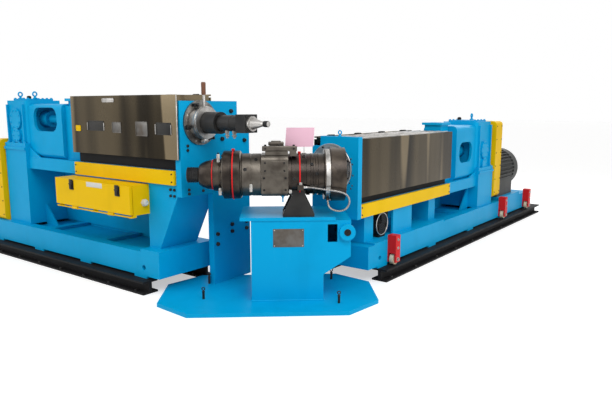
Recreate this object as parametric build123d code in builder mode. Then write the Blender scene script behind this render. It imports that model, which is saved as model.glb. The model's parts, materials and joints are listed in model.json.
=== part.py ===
"""Two-machine extrusion line: main and auxiliary extruder, crosshead and pedestal. Millimetres."""
import os
from math import cos, pi, radians, sin, tan
from types import SimpleNamespace

from build123d import *

os.makedirs("parts", exist_ok=True)

# Layout: the origin is on the floor under the crossing of the main axis and the crosshead axis
CROSSHEAD_ANGLE = 40.0
MAIN_PLATE_Y = 565.0
AUX_PLATE_X = -700.0
AUX_AXIS_Y = -260.0
MAIN_AXIS_Z = 1000.0
AUX_AXIS_Z = 1390.0

# Clearances shared by every fit
RUN_GAP = 5.0
SEAT_GAP = 0.3

# Rails and base frame, alike on both machines
RAIL_OFFSET = 315.0
RAIL_WIDTH = 150.0
RAIL_HEIGHT = 110.0
RAIL_FLANGE = 16.0
RAIL_WEB = 30.0
PAD_HEIGHT = 20.0
PAD_LENGTH = 160.0
BASE_HALF_WIDTH = 300.0
BASE_BEAM_WIDTH = 100.0
BASE_BEAM_HEIGHT = 200.0
BASE_CROSS_COUNT = 5
DECK_DROP = 30.0
DECK_THICKNESS = 14.0
LIFT_HOLE_RADIUS = 22.0
LIFT_HOLE_INSET = 195.0
MAIN_BASE_START = 135.0
MAIN_BASE_LENGTH = 4350.0
AUX_BASE_START = 200.0
AUX_BASE_LENGTH = 3500.0
RAIL_LEAD = 165.0
RAIL_TAIL = 250.0
AUX_RAIL_LEAD = 100.0
AUX_RAIL_TAIL = 200.0

# Front plates and what they carry
PLATE_THICKNESS = 60.0
MAIN_PLATE_NEAR = 270.0
MAIN_PLATE_FAR = 195.0
MAIN_PLATE_TOP = 1270.0
MAIN_PLATE_NOTCH = 85.0
AUX_PLATE_NEAR = 210.0
AUX_PLATE_FAR = 575.0
AUX_PLATE_STEP = 148.0
AUX_PLATE_STEP_Z = 1417.0
AUX_PLATE_TOP = 1560.0
AUX_PLATE_BOTTOM = 810.0
DISC_RADIUS = 185.0
DISC_THICKNESS = 15.0
AUX_DISC_RADIUS = 176.0
UPRIGHT_THICKNESS = 24.0
UPRIGHT_INSET = 188.0
UPRIGHT_FRONT = 306.0
UPRIGHT_REAR = 430.0
UPRIGHT_SHEET = 12.0
COLUMN_NEAR = -123.0
COLUMN_FAR = -570.0

# Barrel bed, side bar, hood and barrel
MAIN_BED_BOTTOM = 585.0
MAIN_BED_TOP = 700.0
AUX_BED_BOTTOM = 900.0
AUX_BED_TOP = 1015.0
MAIN_HOOD_HALF_WIDTH = 260.0
AUX_HOOD_HALF_WIDTH = 230.0
MAIN_HOOD_TOP = 1253.0
AUX_HOOD_TOP = 1607.0
MAIN_HOOD_LENGTH = 1800.0
AUX_HOOD_LENGTH = 1365.0
HOOD_START_GAP = 12.0
HOOD_SHEET = 4.0
MAIN_HOOD_BOTTOM = 762.0
AUX_HOOD_BOTTOM = 1104.0
TRAY_INSET = 55.0
TRAY_END = 20.0
TRAY_WALL = 6.0
TRAY_RISE = 60.0
BED_INSET = 30.0
BED_WALL = 14.0
BAR_HEIGHT = 115.0
BAR_THICKNESS = 26.0
HOOD_RETURN = 50.0
PANEL_SHEET = 16.0
LUG_LENGTH = 30.0
HINGE_RADIUS = 7.0
KNUCKLE_RADIUS = 13.0
KNUCKLE_LENGTH = 60.0
KNUCKLE_COUNT = 4
MAIN_BARREL_RADIUS = 75.0
AUX_BARREL_RADIUS = 60.0
HEATER_THICKNESS = 28.0
HEATER_LENGTH_SHARE = 0.82
HEATER_COUNT = 5
BARREL_FLANGE_LENGTH = 55.0
BARREL_FLANGE_RADIUS = 165.0

# Feed throat, lantern, gearbox, guard and motor
THROAT_LENGTH = 200.0
THROAT_HALF_WIDTH = 130.0
THROAT_PORT_RADIUS = 55.0
MAIN_FEED_TOP = 1340.0
AUX_FEED_TOP = 1590.0
FEED_DUCT_HALF = 95.0
FEED_LIP_HALF = 118.0
FEED_LIP_HEIGHT = 25.0
MAIN_LANTERN_LENGTH = 535.0
AUX_LANTERN_LENGTH = 590.0
LANTERN_INSET = 60.0
LANTERN_DROP = 35.0
LANTERN_WALL = 28.0
LANTERN_ROUND = 50.0
WINDOW_MARGIN = 90.0
WINDOW_HALF_HEIGHT = 115.0
WINDOW_ROUND = 90.0
SHAFT_RADIUS = 45.0
COUPLING_RADIUS = 80.0
COUPLING_LENGTH = 150.0
MAIN_GEARBOX_LENGTH = 454.0
AUX_GEARBOX_LENGTH = 400.0
MAIN_GEARBOX_HALF_WIDTH = 260.0
AUX_GEARBOX_HALF_WIDTH = 230.0
MAIN_GEARBOX_BOTTOM = 755.0
AUX_GEARBOX_BOTTOM = 1110.0
MAIN_GEARBOX_TOP = 1335.0
AUX_GEARBOX_TOP = 1575.0
GEARBOX_FOOT = 40.0
GEARBOX_ROUND = 40.0
GEARBOX_CAP_INSET = 45.0
GEARBOX_CAP_HEIGHT = 18.0
BEARING_RADIUS = 105.0
BEARING_PROUD = 22.0
INPUT_RADIUS = 70.0
INPUT_DROP = 165.0
RIB_WIDTH = 18.0
RIB_PROUD = 24.0
COUNTER_BOSS_RADIUS = 85.0
COLUMN_WALL = 16.0
COLUMN_SETBACK = 40.0
STAND_LIP = 14.0
STAND_LIP_HEIGHT = 26.0
GUSSET_LENGTH = 220.0
MAIN_GUSSET_SIDE = 130.0
AUX_GUSSET_SIDE = 50.0
MAIN_GUSSET_TOP = 690.0
AUX_GUSSET_TOP = 520.0
KNEE_LENGTH = 200.0
KNEE_INSET = 16.0
GUARD_THICKNESS = 210.0
GUARD_GAP = 14.0
GUARD_ROUND = 45.0
MAIN_GUARD_BOTTOM = 400.0
AUX_GUARD_BOTTOM = 330.0
AUX_GUARD_TOP = 1180.0
GUARD_HALF_WIDTH = 280.0
MAIN_MOTOR_RADIUS = 270.0
AUX_MOTOR_RADIUS = 235.0
MAIN_MOTOR_LENGTH = 740.0
AUX_MOTOR_LENGTH = 640.0
MOTOR_FIN_HEIGHT = 30.0
MOTOR_FIN_WIDTH = 9.0
MOTOR_FIN_COUNT = 36
MOTOR_FOOT_HEIGHT = 50.0
MOTOR_FOOT_WIDTH = 70.0
COWL_LENGTH = 140.0
COWL_CLEAR = 10.0
MOTOR_PLATE_THICKNESS = 40.0

# Casters of the main machine
WHEEL_RADIUS = 50.0
WHEEL_WIDTH = 36.0
AXLE_RADIUS = 10.0
FORK_WALL = 12.0
FORK_DROP = 25.0
FORK_LENGTH = 80.0
FORK_WIDTH = 84.0
FORK_CAP_HEIGHT = 165.0
FRONT_WHEEL_INSET = 370.0
MIDDLE_WHEEL_INSET = 1155.0
REAR_WHEEL_INSET = 210.0

# Blower and side panel of the main machine
BLOWER_STATION = 530.0
BLOWER_RADIUS = 105.0
BLOWER_WIDTH = 110.0
BLOWER_INSET = 45.0
BLOWER_FOOT = 15.0
BLOWER_RIM = 20.0
BLOWER_RIM_DEPTH = 25.0
PANEL_START = 680.0
PANEL_LENGTH = 370.0
PANEL_THICKNESS = 20.0

# Legs under the main bed
LEG_LENGTH = 150.0
LEG_HALF_WIDTH = 190.0
LEG_WALL = 14.0
LEG_FIRST = 240.0
LEG_SECOND = 1500.0

# Nose of the auxiliary machine
RING_RADIUS = 125.0
RING_LENGTH = 75.0
LEVER_RADIUS = 11.0
LEVER_HEIGHT = 190.0
PIPE_RADIUS = 85.0
PIPE_LENGTH = 150.0
NECK_RADIUS = 42.0
NECK_LENGTH = 215.0
NOSE_BLOCK_LENGTH = 95.0
NOSE_BLOCK_HALF = 68.0
NOSE_COLLAR_LENGTH = 20.0
NOSE_COLLAR_RADIUS = 56.0
NOSE_CONE_LENGTH = 90.0
NOSE_CONE_RADIUS = 44.0
NOSE_TIP_LENGTH = 60.0
NOSE_TIP_RADIUS = 20.0

# Junction box on the auxiliary machine
BOX_START = 413.0
BOX_LENGTH = 1077.0
BOX_BOTTOM = 640.0
BOX_HEIGHT = 245.0
BOX_DEPTH = 165.0
BOX_WALL = 8.0
BOX_LID_THICKNESS = 26.0
BOX_LID_RISE = 10.0
BOX_PIN_RADIUS = 6.0
BOX_KNUCKLE_RADIUS = 11.0
BOX_KNUCKLE_LENGTH = 80.0
BOX_LUG_LENGTH = 30.0

# Floor plate and pedestal, in the crosshead's own directions
FLOOR_THICKNESS = 30.0
FLOOR_LEFT = 1020.0
FLOOR_RIGHT = 690.0
FLOOR_FRONT = 400.0
FLOOR_BACK = 615.0
FLOOR_CORNER = 260.0
PEDESTAL_FRONT = 124.0
PEDESTAL_DEPTH = 430.0
PEDESTAL_LEFT = 295.0
PEDESTAL_FOOT_RIGHT = 260.0
PEDESTAL_HEAD_RIGHT = 470.0
PEDESTAL_KNEE_LOW = 235.0
PEDESTAL_KNEE_HIGH = 375.0
PEDESTAL_TOP = 660.0
PEDESTAL_WALL = 14.0
WINDOW_CENTRE = 328.0
WINDOW_WIDTH = 75.0
WINDOW_BOTTOM = 490.0
WINDOW_HEIGHT = 140.0
TABLE_THICKNESS = 25.0
TABLE_LEFT = 378.0
TABLE_RIGHT = 350.0
TABLE_BACK = 400.0
TABLE_LIP = 8.0
EAR_STATION = 440.0
EAR_Z = 570.0
EAR_RADIUS = 62.0
EAR_PROUD = 34.0
EAR_HOLE_RADIUS = 27.0

# Crosshead, station by station from the nose
NUT_LENGTH = 90.0
NUT_RADIUS = 60.0
NUT_SIDES = 6
CONE_LENGTH = 105.0
COLLAR_LENGTH = 80.0
COLLAR_RADIUS = 111.0
FLANGE_LENGTH = 145.0
FLANGE_RADIUS = 168.0
BODY_LENGTH = 150.0
BODY_RADIUS = 155.0
BLOCK_LENGTH = 200.0
BLOCK_HALF = 160.0
BLOCK_UNDER = 150.0
BLOCK_ROUND = 45.0
CAP_HEIGHT = 26.0
CAP_INSET = 30.0
TOP_BLOCK_HEIGHT = 40.0
TOP_BLOCK_INSET = 60.0
BARREL_LENGTH = 275.0
BARREL_RADIUS = 150.0
BARREL_STEP = 10.0
BARREL_RINGS = ((0.0, 24.0), (140.0, 26.0), (190.0, 14.0), (228.0, 40.0))
REAR_RING_LENGTH = 50.0
REAR_RING_DROP = 12.0
REAR_FLANGE_LENGTH = 160.0
REAR_FLANGE_RADIUS = 205.0
BLOCK_END = -10.0
BORE_RADIUS = 28.0
FEED_NECK_RADIUS = 52.0
CRADLE_START = 20.0
CRADLE_LENGTH = 100.0
CRADLE_HALF_WIDTH = 110.0
CRADLE_FOOT = 20.0
CRADLE_WRAP = 40.0
CRADLE_WEB = 18.0
CRADLE_SPREAD = 70.0

# Braided conduit from a connector on the crosshead's barrel round to a gland under its rear flange:
# station, side and height of each point of its route
CONDUIT_RADIUS = 7.0
CONDUIT_ROUTE = (
    (105.0, 150.0, 918.0), (150.0, 150.0, 918.0), (205.0, 172.0, 913.0), (262.0, 195.0, 906.0),
    (318.0, 206.0, 900.0), (372.0, 208.0, 891.0), (418.0, 204.0, 874.0), (446.0, 197.0, 837.0),
    (446.0, 188.0, 789.0), (418.0, 178.0, 750.0), (372.0, 166.0, 735.0), (318.0, 150.0, 747.0),
    (290.0, 135.3, 776.8), (290.0, 113.0, 813.6))
ARC_SHARE = 0.45
CONNECTOR_LENGTH = 45.0
CONNECTOR_INNER = 100.0
CONNECTOR_OUTER = 172.0
CONNECTOR_HALF_HEIGHT = 20.0
GLAND_RADIUS = 11.0
GLAND_SEAT = 40.0

# Heights that follow from the above
BASE_BOTTOM = RAIL_HEIGHT + PAD_HEIGHT
BASE_TOP = BASE_BOTTOM + BASE_BEAM_HEIGHT
TABLE_TOP = PEDESTAL_TOP + TABLE_THICKNESS
UP = Vector(0, 0, 1)


def make_lane(name, origin, axis, near, **sizes):
    """Directions of one machine: stations run along its axis, near is the hand of the viewed side."""
    lane = SimpleNamespace(name=name, origin=Vector(*origin), axis=Vector(*axis), near=near, **sizes)
    lane.left = UP.cross(lane.axis)
    return lane


def make_unit(name, origin, axis, near, **sizes):
    """One extruder: its lane from the front plate, and the stations that follow from its sizes."""
    unit = make_lane(name, origin, axis, near, **sizes)
    unit.hood_start = PLATE_THICKNESS + HOOD_START_GAP
    unit.hood_end = unit.hood_start + unit.hood_length
    unit.throat_start = unit.hood_end + RUN_GAP + BARREL_FLANGE_LENGTH
    unit.throat_end = unit.throat_start + THROAT_LENGTH
    unit.gearbox_start = unit.throat_end + unit.lantern_length
    unit.gearbox_end = unit.gearbox_start + unit.gearbox_length
    unit.guard_start = unit.gearbox_end + GUARD_GAP
    unit.guard_end = unit.guard_start + GUARD_THICKNESS
    unit.motor_start = unit.guard_end
    unit.motor_end = unit.motor_start + unit.motor_length
    unit.bed_half_width = unit.hood_half_width - BED_INSET
    return unit


MAIN = make_unit(
    "main", (0, MAIN_PLATE_Y, 0), (0, 1, 0), -1,
    axis_z=MAIN_AXIS_Z, base_start=MAIN_BASE_START, base_length=MAIN_BASE_LENGTH,
    rail_start=MAIN_BASE_START + RAIL_LEAD, rail_end=MAIN_BASE_START + MAIN_BASE_LENGTH + RAIL_TAIL,
    bed_bottom=MAIN_BED_BOTTOM, bed_top=MAIN_BED_TOP, hood_half_width=MAIN_HOOD_HALF_WIDTH,
    hood_bottom=MAIN_HOOD_BOTTOM, hood_lip=HOOD_START_GAP, feed_top=MAIN_FEED_TOP,
    lantern_length=MAIN_LANTERN_LENGTH, guard_top=MAIN_GEARBOX_TOP,
    gusset_side=MAIN_GUSSET_SIDE, gusset_top=MAIN_GUSSET_TOP,
    hood_top=MAIN_HOOD_TOP, hood_length=MAIN_HOOD_LENGTH, barrel_radius=MAIN_BARREL_RADIUS,
    gearbox_length=MAIN_GEARBOX_LENGTH, gearbox_half_width=MAIN_GEARBOX_HALF_WIDTH,
    gearbox_bottom=MAIN_GEARBOX_BOTTOM, gearbox_top=MAIN_GEARBOX_TOP, guard_bottom=MAIN_GUARD_BOTTOM,
    motor_radius=MAIN_MOTOR_RADIUS, motor_length=MAIN_MOTOR_LENGTH, disc_radius=DISC_RADIUS)
AUX = make_unit(
    "aux", (AUX_PLATE_X, AUX_AXIS_Y, 0), (-1, 0, 0), 1,
    axis_z=AUX_AXIS_Z, base_start=AUX_BASE_START, base_length=AUX_BASE_LENGTH,
    rail_start=AUX_BASE_START + AUX_RAIL_LEAD, rail_end=AUX_BASE_START + AUX_BASE_LENGTH + AUX_RAIL_TAIL,
    bed_bottom=AUX_BED_BOTTOM, bed_top=AUX_BED_TOP, hood_half_width=AUX_HOOD_HALF_WIDTH,
    hood_bottom=AUX_HOOD_BOTTOM, hood_lip=PLATE_THICKNESS + HOOD_START_GAP, feed_top=AUX_FEED_TOP,
    lantern_length=AUX_LANTERN_LENGTH, guard_top=AUX_GUARD_TOP,
    gusset_side=AUX_GUSSET_SIDE, gusset_top=AUX_GUSSET_TOP,
    hood_top=AUX_HOOD_TOP, hood_length=AUX_HOOD_LENGTH, barrel_radius=AUX_BARREL_RADIUS,
    gearbox_length=AUX_GEARBOX_LENGTH, gearbox_half_width=AUX_GEARBOX_HALF_WIDTH,
    gearbox_bottom=AUX_GEARBOX_BOTTOM, gearbox_top=AUX_GEARBOX_TOP, guard_bottom=AUX_GUARD_BOTTOM,
    motor_radius=AUX_MOTOR_RADIUS, motor_length=AUX_MOTOR_LENGTH, disc_radius=AUX_DISC_RADIUS)


def point(unit, station, side, z):
    """A place on the unit: station along the axis, side towards the viewed side, height."""
    return unit.origin + unit.axis * station + unit.left * (side * unit.near) + UP * z


def level(unit, z):
    """Plane at height z: x is the station, y is across."""
    return Plane(point(unit, 0, 0, z), x_dir=unit.axis, z_dir=UP)


def cross(unit, station):
    """Plane across the axis at a station: x is across, y is the height, extrudes towards the drive."""
    return Plane(point(unit, station, 0, 0), x_dir=unit.left, z_dir=unit.axis)


def along(unit, side):
    """Upright plane along the axis, side away from it: x is the station, y is the height."""
    return Plane(point(unit, 0, side, 0), x_dir=unit.axis, z_dir=unit.axis.cross(UP))


def box_on(unit, start, end, low, high, bottom, top, mode=Mode.ADD):
    """A plain block between two stations, two sides and two heights."""
    with BuildSketch(cross(unit, start)) as section:
        with Locations((unit.near * (low + high) / 2, (bottom + top) / 2)):
            Rectangle(high - low, top - bottom)
    extrude(section.sketch, amount=end - start, mode=mode)


def rod_on(unit, start, end, radius, side, z, mode=Mode.ADD):
    """A plain round bar between two stations."""
    with BuildSketch(cross(unit, start)) as section:
        with Locations((unit.near * side, z)):
            Circle(radius)
    extrude(section.sketch, amount=end - start, mode=mode)


def save(block, label):
    """Label a finished piece and write it."""
    block.part.label = label
    export_step(block.part, f"parts/{label}.step")


def make_rails(unit):
    """Two floor rails of I section."""
    with BuildPart() as rails:
        for side in (-RAIL_OFFSET, RAIL_OFFSET):
            low = side - RAIL_WIDTH / 2
            high = side + RAIL_WIDTH / 2
            box_on(unit, unit.rail_start, unit.rail_end, low, high, 0, RAIL_FLANGE)
            box_on(unit, unit.rail_start, unit.rail_end, low, high, RAIL_HEIGHT - RAIL_FLANGE, RAIL_HEIGHT)
            box_on(unit, unit.rail_start, unit.rail_end, side - RAIL_WEB / 2, side + RAIL_WEB / 2,
                   RAIL_FLANGE, RAIL_HEIGHT - RAIL_FLANGE)
    save(rails, f"{unit.name}_rails")


def make_base(unit):
    """Welded base: two long beams, cross beams, a sunk deck, pads on the rails and the motor's deck."""
    start, end = unit.base_start, unit.base_start + unit.base_length
    inner = BASE_HALF_WIDTH - BASE_BEAM_WIDTH
    pitch = (unit.base_length - BASE_BEAM_WIDTH) / (BASE_CROSS_COUNT - 1)
    pad_inner = RAIL_OFFSET - RAIL_WIDTH / 2
    pad_pitch = (unit.base_length - RAIL_LEAD - PAD_LENGTH) / (BASE_CROSS_COUNT - 1)
    deck = BASE_TOP - DECK_DROP
    with BuildPart() as base:
        box_on(unit, start, end, inner, BASE_HALF_WIDTH, BASE_BOTTOM, BASE_TOP)
        box_on(unit, start, end, -BASE_HALF_WIDTH, -inner, BASE_BOTTOM, BASE_TOP)
        box_on(unit, start, end, -inner, inner, deck - DECK_THICKNESS, deck)
        for index in range(BASE_CROSS_COUNT):
            station = start + index * pitch
            box_on(unit, station, station + BASE_BEAM_WIDTH, -inner, inner, BASE_BOTTOM, BASE_TOP)
            pad = start + RAIL_LEAD + index * pad_pitch
            box_on(unit, pad, pad + PAD_LENGTH, pad_inner, BASE_HALF_WIDTH, RAIL_HEIGHT, BASE_BOTTOM)
            box_on(unit, pad, pad + PAD_LENGTH, -BASE_HALF_WIDTH, -pad_inner, RAIL_HEIGHT, BASE_BOTTOM)
        box_on(unit, unit.motor_start, unit.motor_end, -BASE_HALF_WIDTH, BASE_HALF_WIDTH,
               BASE_TOP, BASE_TOP + MOTOR_PLATE_THICKNESS)
        with BuildSketch(along(unit, 0)) as holes:
            with Locations((start + LIFT_HOLE_INSET, (BASE_BOTTOM + BASE_TOP) / 2 - DECK_DROP),
                           (end - LIFT_HOLE_INSET, (BASE_BOTTOM + BASE_TOP) / 2 - DECK_DROP)):
                Circle(LIFT_HOLE_RADIUS)
        extrude(holes.sketch, amount=BASE_HALF_WIDTH, both=True, mode=Mode.SUBTRACT)
    save(base, f"{unit.name}_base")


def make_main_front_plate():
    """Front plate of the main machine with its far upper corner cut away."""
    unit = MAIN
    with BuildPart() as plate:
        box_on(unit, 0, PLATE_THICKNESS, -MAIN_PLATE_FAR, MAIN_PLATE_NEAR, unit.bed_bottom, MAIN_PLATE_TOP)
        box_on(unit, 0, PLATE_THICKNESS, -MAIN_PLATE_FAR, MAIN_PLATE_NOTCH - MAIN_PLATE_FAR,
               MAIN_PLATE_TOP - MAIN_PLATE_NOTCH, MAIN_PLATE_TOP, mode=Mode.SUBTRACT)
        rod_on(unit, 0, PLATE_THICKNESS, unit.barrel_radius + SEAT_GAP, 0, unit.axis_z, mode=Mode.SUBTRACT)
    save(plate, "main_front_plate")


def make_aux_front_plate():
    """Stepped front plate of the auxiliary machine, wider on the far side."""
    unit = AUX
    step_side = AUX_PLATE_STEP - AUX_PLATE_FAR
    with BuildPart() as plate:
        box_on(unit, 0, PLATE_THICKNESS, -AUX_PLATE_FAR, AUX_PLATE_NEAR, AUX_PLATE_BOTTOM, AUX_PLATE_STEP_Z)
        box_on(unit, 0, PLATE_THICKNESS, step_side, AUX_PLATE_NEAR, AUX_PLATE_STEP_Z, AUX_PLATE_TOP)
        rod_on(unit, 0, PLATE_THICKNESS, unit.barrel_radius + SEAT_GAP, 0, unit.axis_z, mode=Mode.SUBTRACT)
    save(plate, "aux_front_plate")


def make_barrel_disc(unit):
    """Round face plate where the barrel comes through the front plate."""
    with BuildPart() as disc:
        rod_on(unit, -DISC_THICKNESS, 0, unit.disc_radius, 0, unit.axis_z)
        rod_on(unit, -DISC_THICKNESS, 0, FEED_NECK_RADIUS + SEAT_GAP, 0, unit.axis_z, mode=Mode.SUBTRACT)
    save(disc, f"{unit.name}_barrel_disc")


def make_bed(unit):
    """Hollow beam that carries the barrel, from the front plate to the gear housing's stand."""
    half = unit.bed_half_width
    with BuildPart() as bed:
        box_on(unit, PLATE_THICKNESS, unit.gearbox_start, -half, half, unit.bed_bottom, unit.bed_top)
        box_on(unit, PLATE_THICKNESS, unit.gearbox_start, BED_WALL - half, half - BED_WALL,
               unit.bed_bottom + BED_WALL, unit.bed_top - BED_WALL, mode=Mode.SUBTRACT)
    save(bed, f"{unit.name}_bed")


def make_bar(unit):
    """Bare yellow side bar along the bed."""
    with BuildPart() as bar:
        box_on(unit, unit.hood_start, unit.hood_end, unit.bed_half_width, unit.bed_half_width + BAR_THICKNESS,
               unit.bed_bottom, unit.bed_bottom + BAR_HEIGHT)
    save(bar, f"{unit.name}_side_bar")


def knuckle_stations(unit):
    """Starts of the hood's hinge knuckles, spread evenly along the hood."""
    pitch = unit.hood_length / KNUCKLE_COUNT
    first = unit.hood_start + (pitch - KNUCKLE_LENGTH) / 2
    return [first + index * pitch for index in range(KNUCKLE_COUNT)]


def hinge_side(unit):
    """How far the hood's hinge line lies from the axis, on the far side."""
    return PANEL_SHEET / 2 - unit.bed_half_width


def make_rear_panel(unit):
    """Fixed far panel with the lugs and the pin that the hood turns on."""
    side = hinge_side(unit)
    panel_top = unit.hood_top - KNUCKLE_RADIUS - RUN_GAP
    with BuildPart() as panel:
        box_on(unit, unit.hood_start, unit.hood_end, -unit.bed_half_width, PANEL_SHEET - unit.bed_half_width,
               unit.bed_top, panel_top)
        for station in knuckle_stations(unit):
            for lug in (station - RUN_GAP - LUG_LENGTH, station + KNUCKLE_LENGTH + RUN_GAP):
                box_on(unit, lug, lug + LUG_LENGTH, side - HINGE_RADIUS, side + HINGE_RADIUS,
                       panel_top - LUG_LENGTH, unit.hood_top)
        rod_on(unit, unit.hood_start, unit.hood_end, HINGE_RADIUS, side, unit.hood_top)
    save(panel, f"{unit.name}_rear_panel")


def make_hood(unit):
    """Folded steel hood: a near side and a top with end returns, hinged along the far top edge."""
    start, end = unit.hood_start, unit.hood_end
    half, top, bottom = unit.hood_half_width, unit.hood_top, unit.hood_bottom
    side = hinge_side(unit)
    edge = side + KNUCKLE_RADIUS + RUN_GAP
    with BuildPart() as hood:
        box_on(unit, start - unit.hood_lip, end, half - HOOD_SHEET, half, bottom, top)
        box_on(unit, start, end, edge, half, top - HOOD_SHEET, top)
        for station in (start, end - HOOD_SHEET):
            box_on(unit, station, station + HOOD_SHEET, half - HOOD_RETURN, half, bottom, top)
            box_on(unit, station, station + HOOD_SHEET, edge, half, top - HOOD_RETURN, top)
        for station in knuckle_stations(unit):
            rod_on(unit, station, station + KNUCKLE_LENGTH, KNUCKLE_RADIUS, side, top)
            box_on(unit, station, station + KNUCKLE_LENGTH, side, edge + HOOD_SHEET, top - HOOD_SHEET, top)
            rod_on(unit, station, station + KNUCKLE_LENGTH, HINGE_RADIUS + SEAT_GAP, side, top,
                   mode=Mode.SUBTRACT)
    save(hood, f"{unit.name}_hood")


def make_tray(unit):
    """Open black pan on the bed under the barrel, seen below the hood's near edge."""
    half = unit.hood_half_width - TRAY_INSET
    start, end = unit.hood_start + TRAY_END, unit.hood_end - TRAY_END
    rim = unit.hood_bottom + TRAY_RISE
    with BuildPart() as tray:
        box_on(unit, start, end, -half, half, unit.bed_top, rim)
        box_on(unit, start + TRAY_WALL, end - TRAY_WALL, TRAY_WALL - half, half - TRAY_WALL,
               unit.bed_top + TRAY_WALL, rim, mode=Mode.SUBTRACT)
    save(tray, f"{unit.name}_barrel_tray")


def make_barrel(unit):
    """Barrel with its heater bands, from the front plate to the feed throat."""
    pitch = unit.hood_length / HEATER_COUNT
    band = pitch * HEATER_LENGTH_SHARE
    with BuildPart() as barrel:
        rod_on(unit, 0, unit.throat_start, unit.barrel_radius, 0, unit.axis_z)
        rod_on(unit, unit.throat_start - BARREL_FLANGE_LENGTH, unit.throat_start, BARREL_FLANGE_RADIUS, 0,
               unit.axis_z)
        for index in range(HEATER_COUNT):
            start = unit.hood_start + index * pitch + (pitch - band) / 2
            rod_on(unit, start, start + band, unit.barrel_radius + HEATER_THICKNESS, 0, unit.axis_z)
    save(barrel, f"{unit.name}_barrel")


def make_throat(unit):
    """Feed block on the bed with a square duct on top, and an open feed port down through both."""
    body_top = unit.axis_z + THROAT_HALF_WIDTH
    lip_bottom = unit.feed_top - FEED_LIP_HEIGHT
    with BuildPart() as throat:
        box_on(unit, unit.throat_start, unit.throat_end, -THROAT_HALF_WIDTH, THROAT_HALF_WIDTH,
               unit.bed_top, body_top)
        with BuildSketch(level(unit, body_top)) as duct:
            with Locations(((unit.throat_start + unit.throat_end) / 2, 0)):
                Rectangle(2 * FEED_DUCT_HALF, 2 * FEED_DUCT_HALF)
        extrude(duct.sketch, amount=lip_bottom - body_top)
        with BuildSketch(level(unit, lip_bottom)) as lip:
            with Locations(((unit.throat_start + unit.throat_end) / 2, 0)):
                Rectangle(2 * FEED_LIP_HALF, 2 * FEED_LIP_HALF)
        extrude(lip.sketch, amount=FEED_LIP_HEIGHT)
        with BuildSketch(level(unit, unit.axis_z)) as port:
            with Locations(((unit.throat_start + unit.throat_end) / 2, 0)):
                Circle(THROAT_PORT_RADIUS)
        extrude(port.sketch, amount=unit.feed_top - unit.axis_z, mode=Mode.SUBTRACT)
    save(throat, f"{unit.name}_feed_throat")


def make_lantern(unit):
    """Cast housing between the feed block and the gearbox, open through a round-cornered window."""
    start, end = unit.throat_end, unit.gearbox_start
    half = unit.gearbox_half_width - LANTERN_INSET
    top = unit.gearbox_top - LANTERN_DROP
    with BuildPart() as lantern:
        with BuildSketch(cross(unit, start)) as outline:
            with Locations((0, (unit.bed_top + top) / 2)):
                RectangleRounded(2 * half, top - unit.bed_top, LANTERN_ROUND)
        extrude(outline.sketch, amount=end - start)
        box_on(unit, start + LANTERN_WALL, end - LANTERN_WALL, LANTERN_WALL - half, half - LANTERN_WALL,
               unit.bed_top + LANTERN_WALL, top - LANTERN_WALL, mode=Mode.SUBTRACT)
        rod_on(unit, start, end, COUPLING_RADIUS + RUN_GAP, 0, unit.axis_z, mode=Mode.SUBTRACT)
        with BuildSketch(along(unit, 0)) as window:
            with Locations(((start + end) / 2, unit.axis_z)):
                RectangleRounded(end - start - 2 * WINDOW_MARGIN, 2 * WINDOW_HALF_HEIGHT, WINDOW_ROUND)
        extrude(window.sketch, amount=half, both=True, mode=Mode.SUBTRACT)
    save(lantern, f"{unit.name}_lantern")


def make_gear_stand(unit):
    """Hollow stand under the gearbox: a lip at its top, knee plates on the bed and a gusset on the deck."""
    start, end = unit.gearbox_start, unit.gearbox_end
    half = unit.gearbox_half_width
    lip = unit.gearbox_bottom - STAND_LIP_HEIGHT
    knee = unit.bed_half_width - KNEE_INSET
    deck = BASE_TOP - DECK_DROP
    with BuildPart() as stand:
        box_on(unit, start, end, -half, half, BASE_TOP, unit.gearbox_bottom)
        box_on(unit, start, end, -half - STAND_LIP, half + STAND_LIP, lip, unit.gearbox_bottom)
        box_on(unit, start + COLUMN_WALL, end - COLUMN_WALL, COLUMN_WALL - half, half - COLUMN_WALL,
               BASE_TOP, lip, mode=Mode.SUBTRACT)
        for side in (-knee, knee):
            with BuildSketch(along(unit, side)) as plate:
                with BuildLine():
                    Polyline((start, unit.bed_top), (start - KNEE_LENGTH, unit.bed_top),
                             (start, unit.gearbox_bottom), close=True)
                make_face()
            extrude(plate.sketch, amount=COLUMN_WALL / 2, both=True)
        with BuildSketch(along(unit, unit.gusset_side)) as gusset:
            with BuildLine():
                Polyline((start, deck), (start - GUSSET_LENGTH, deck),
                         (start, min(unit.gusset_top, unit.bed_bottom)), close=True)
            make_face()
        extrude(gusset.sketch, amount=COLUMN_WALL / 2, both=True)
    save(stand, f"{unit.name}_gear_stand")


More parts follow.
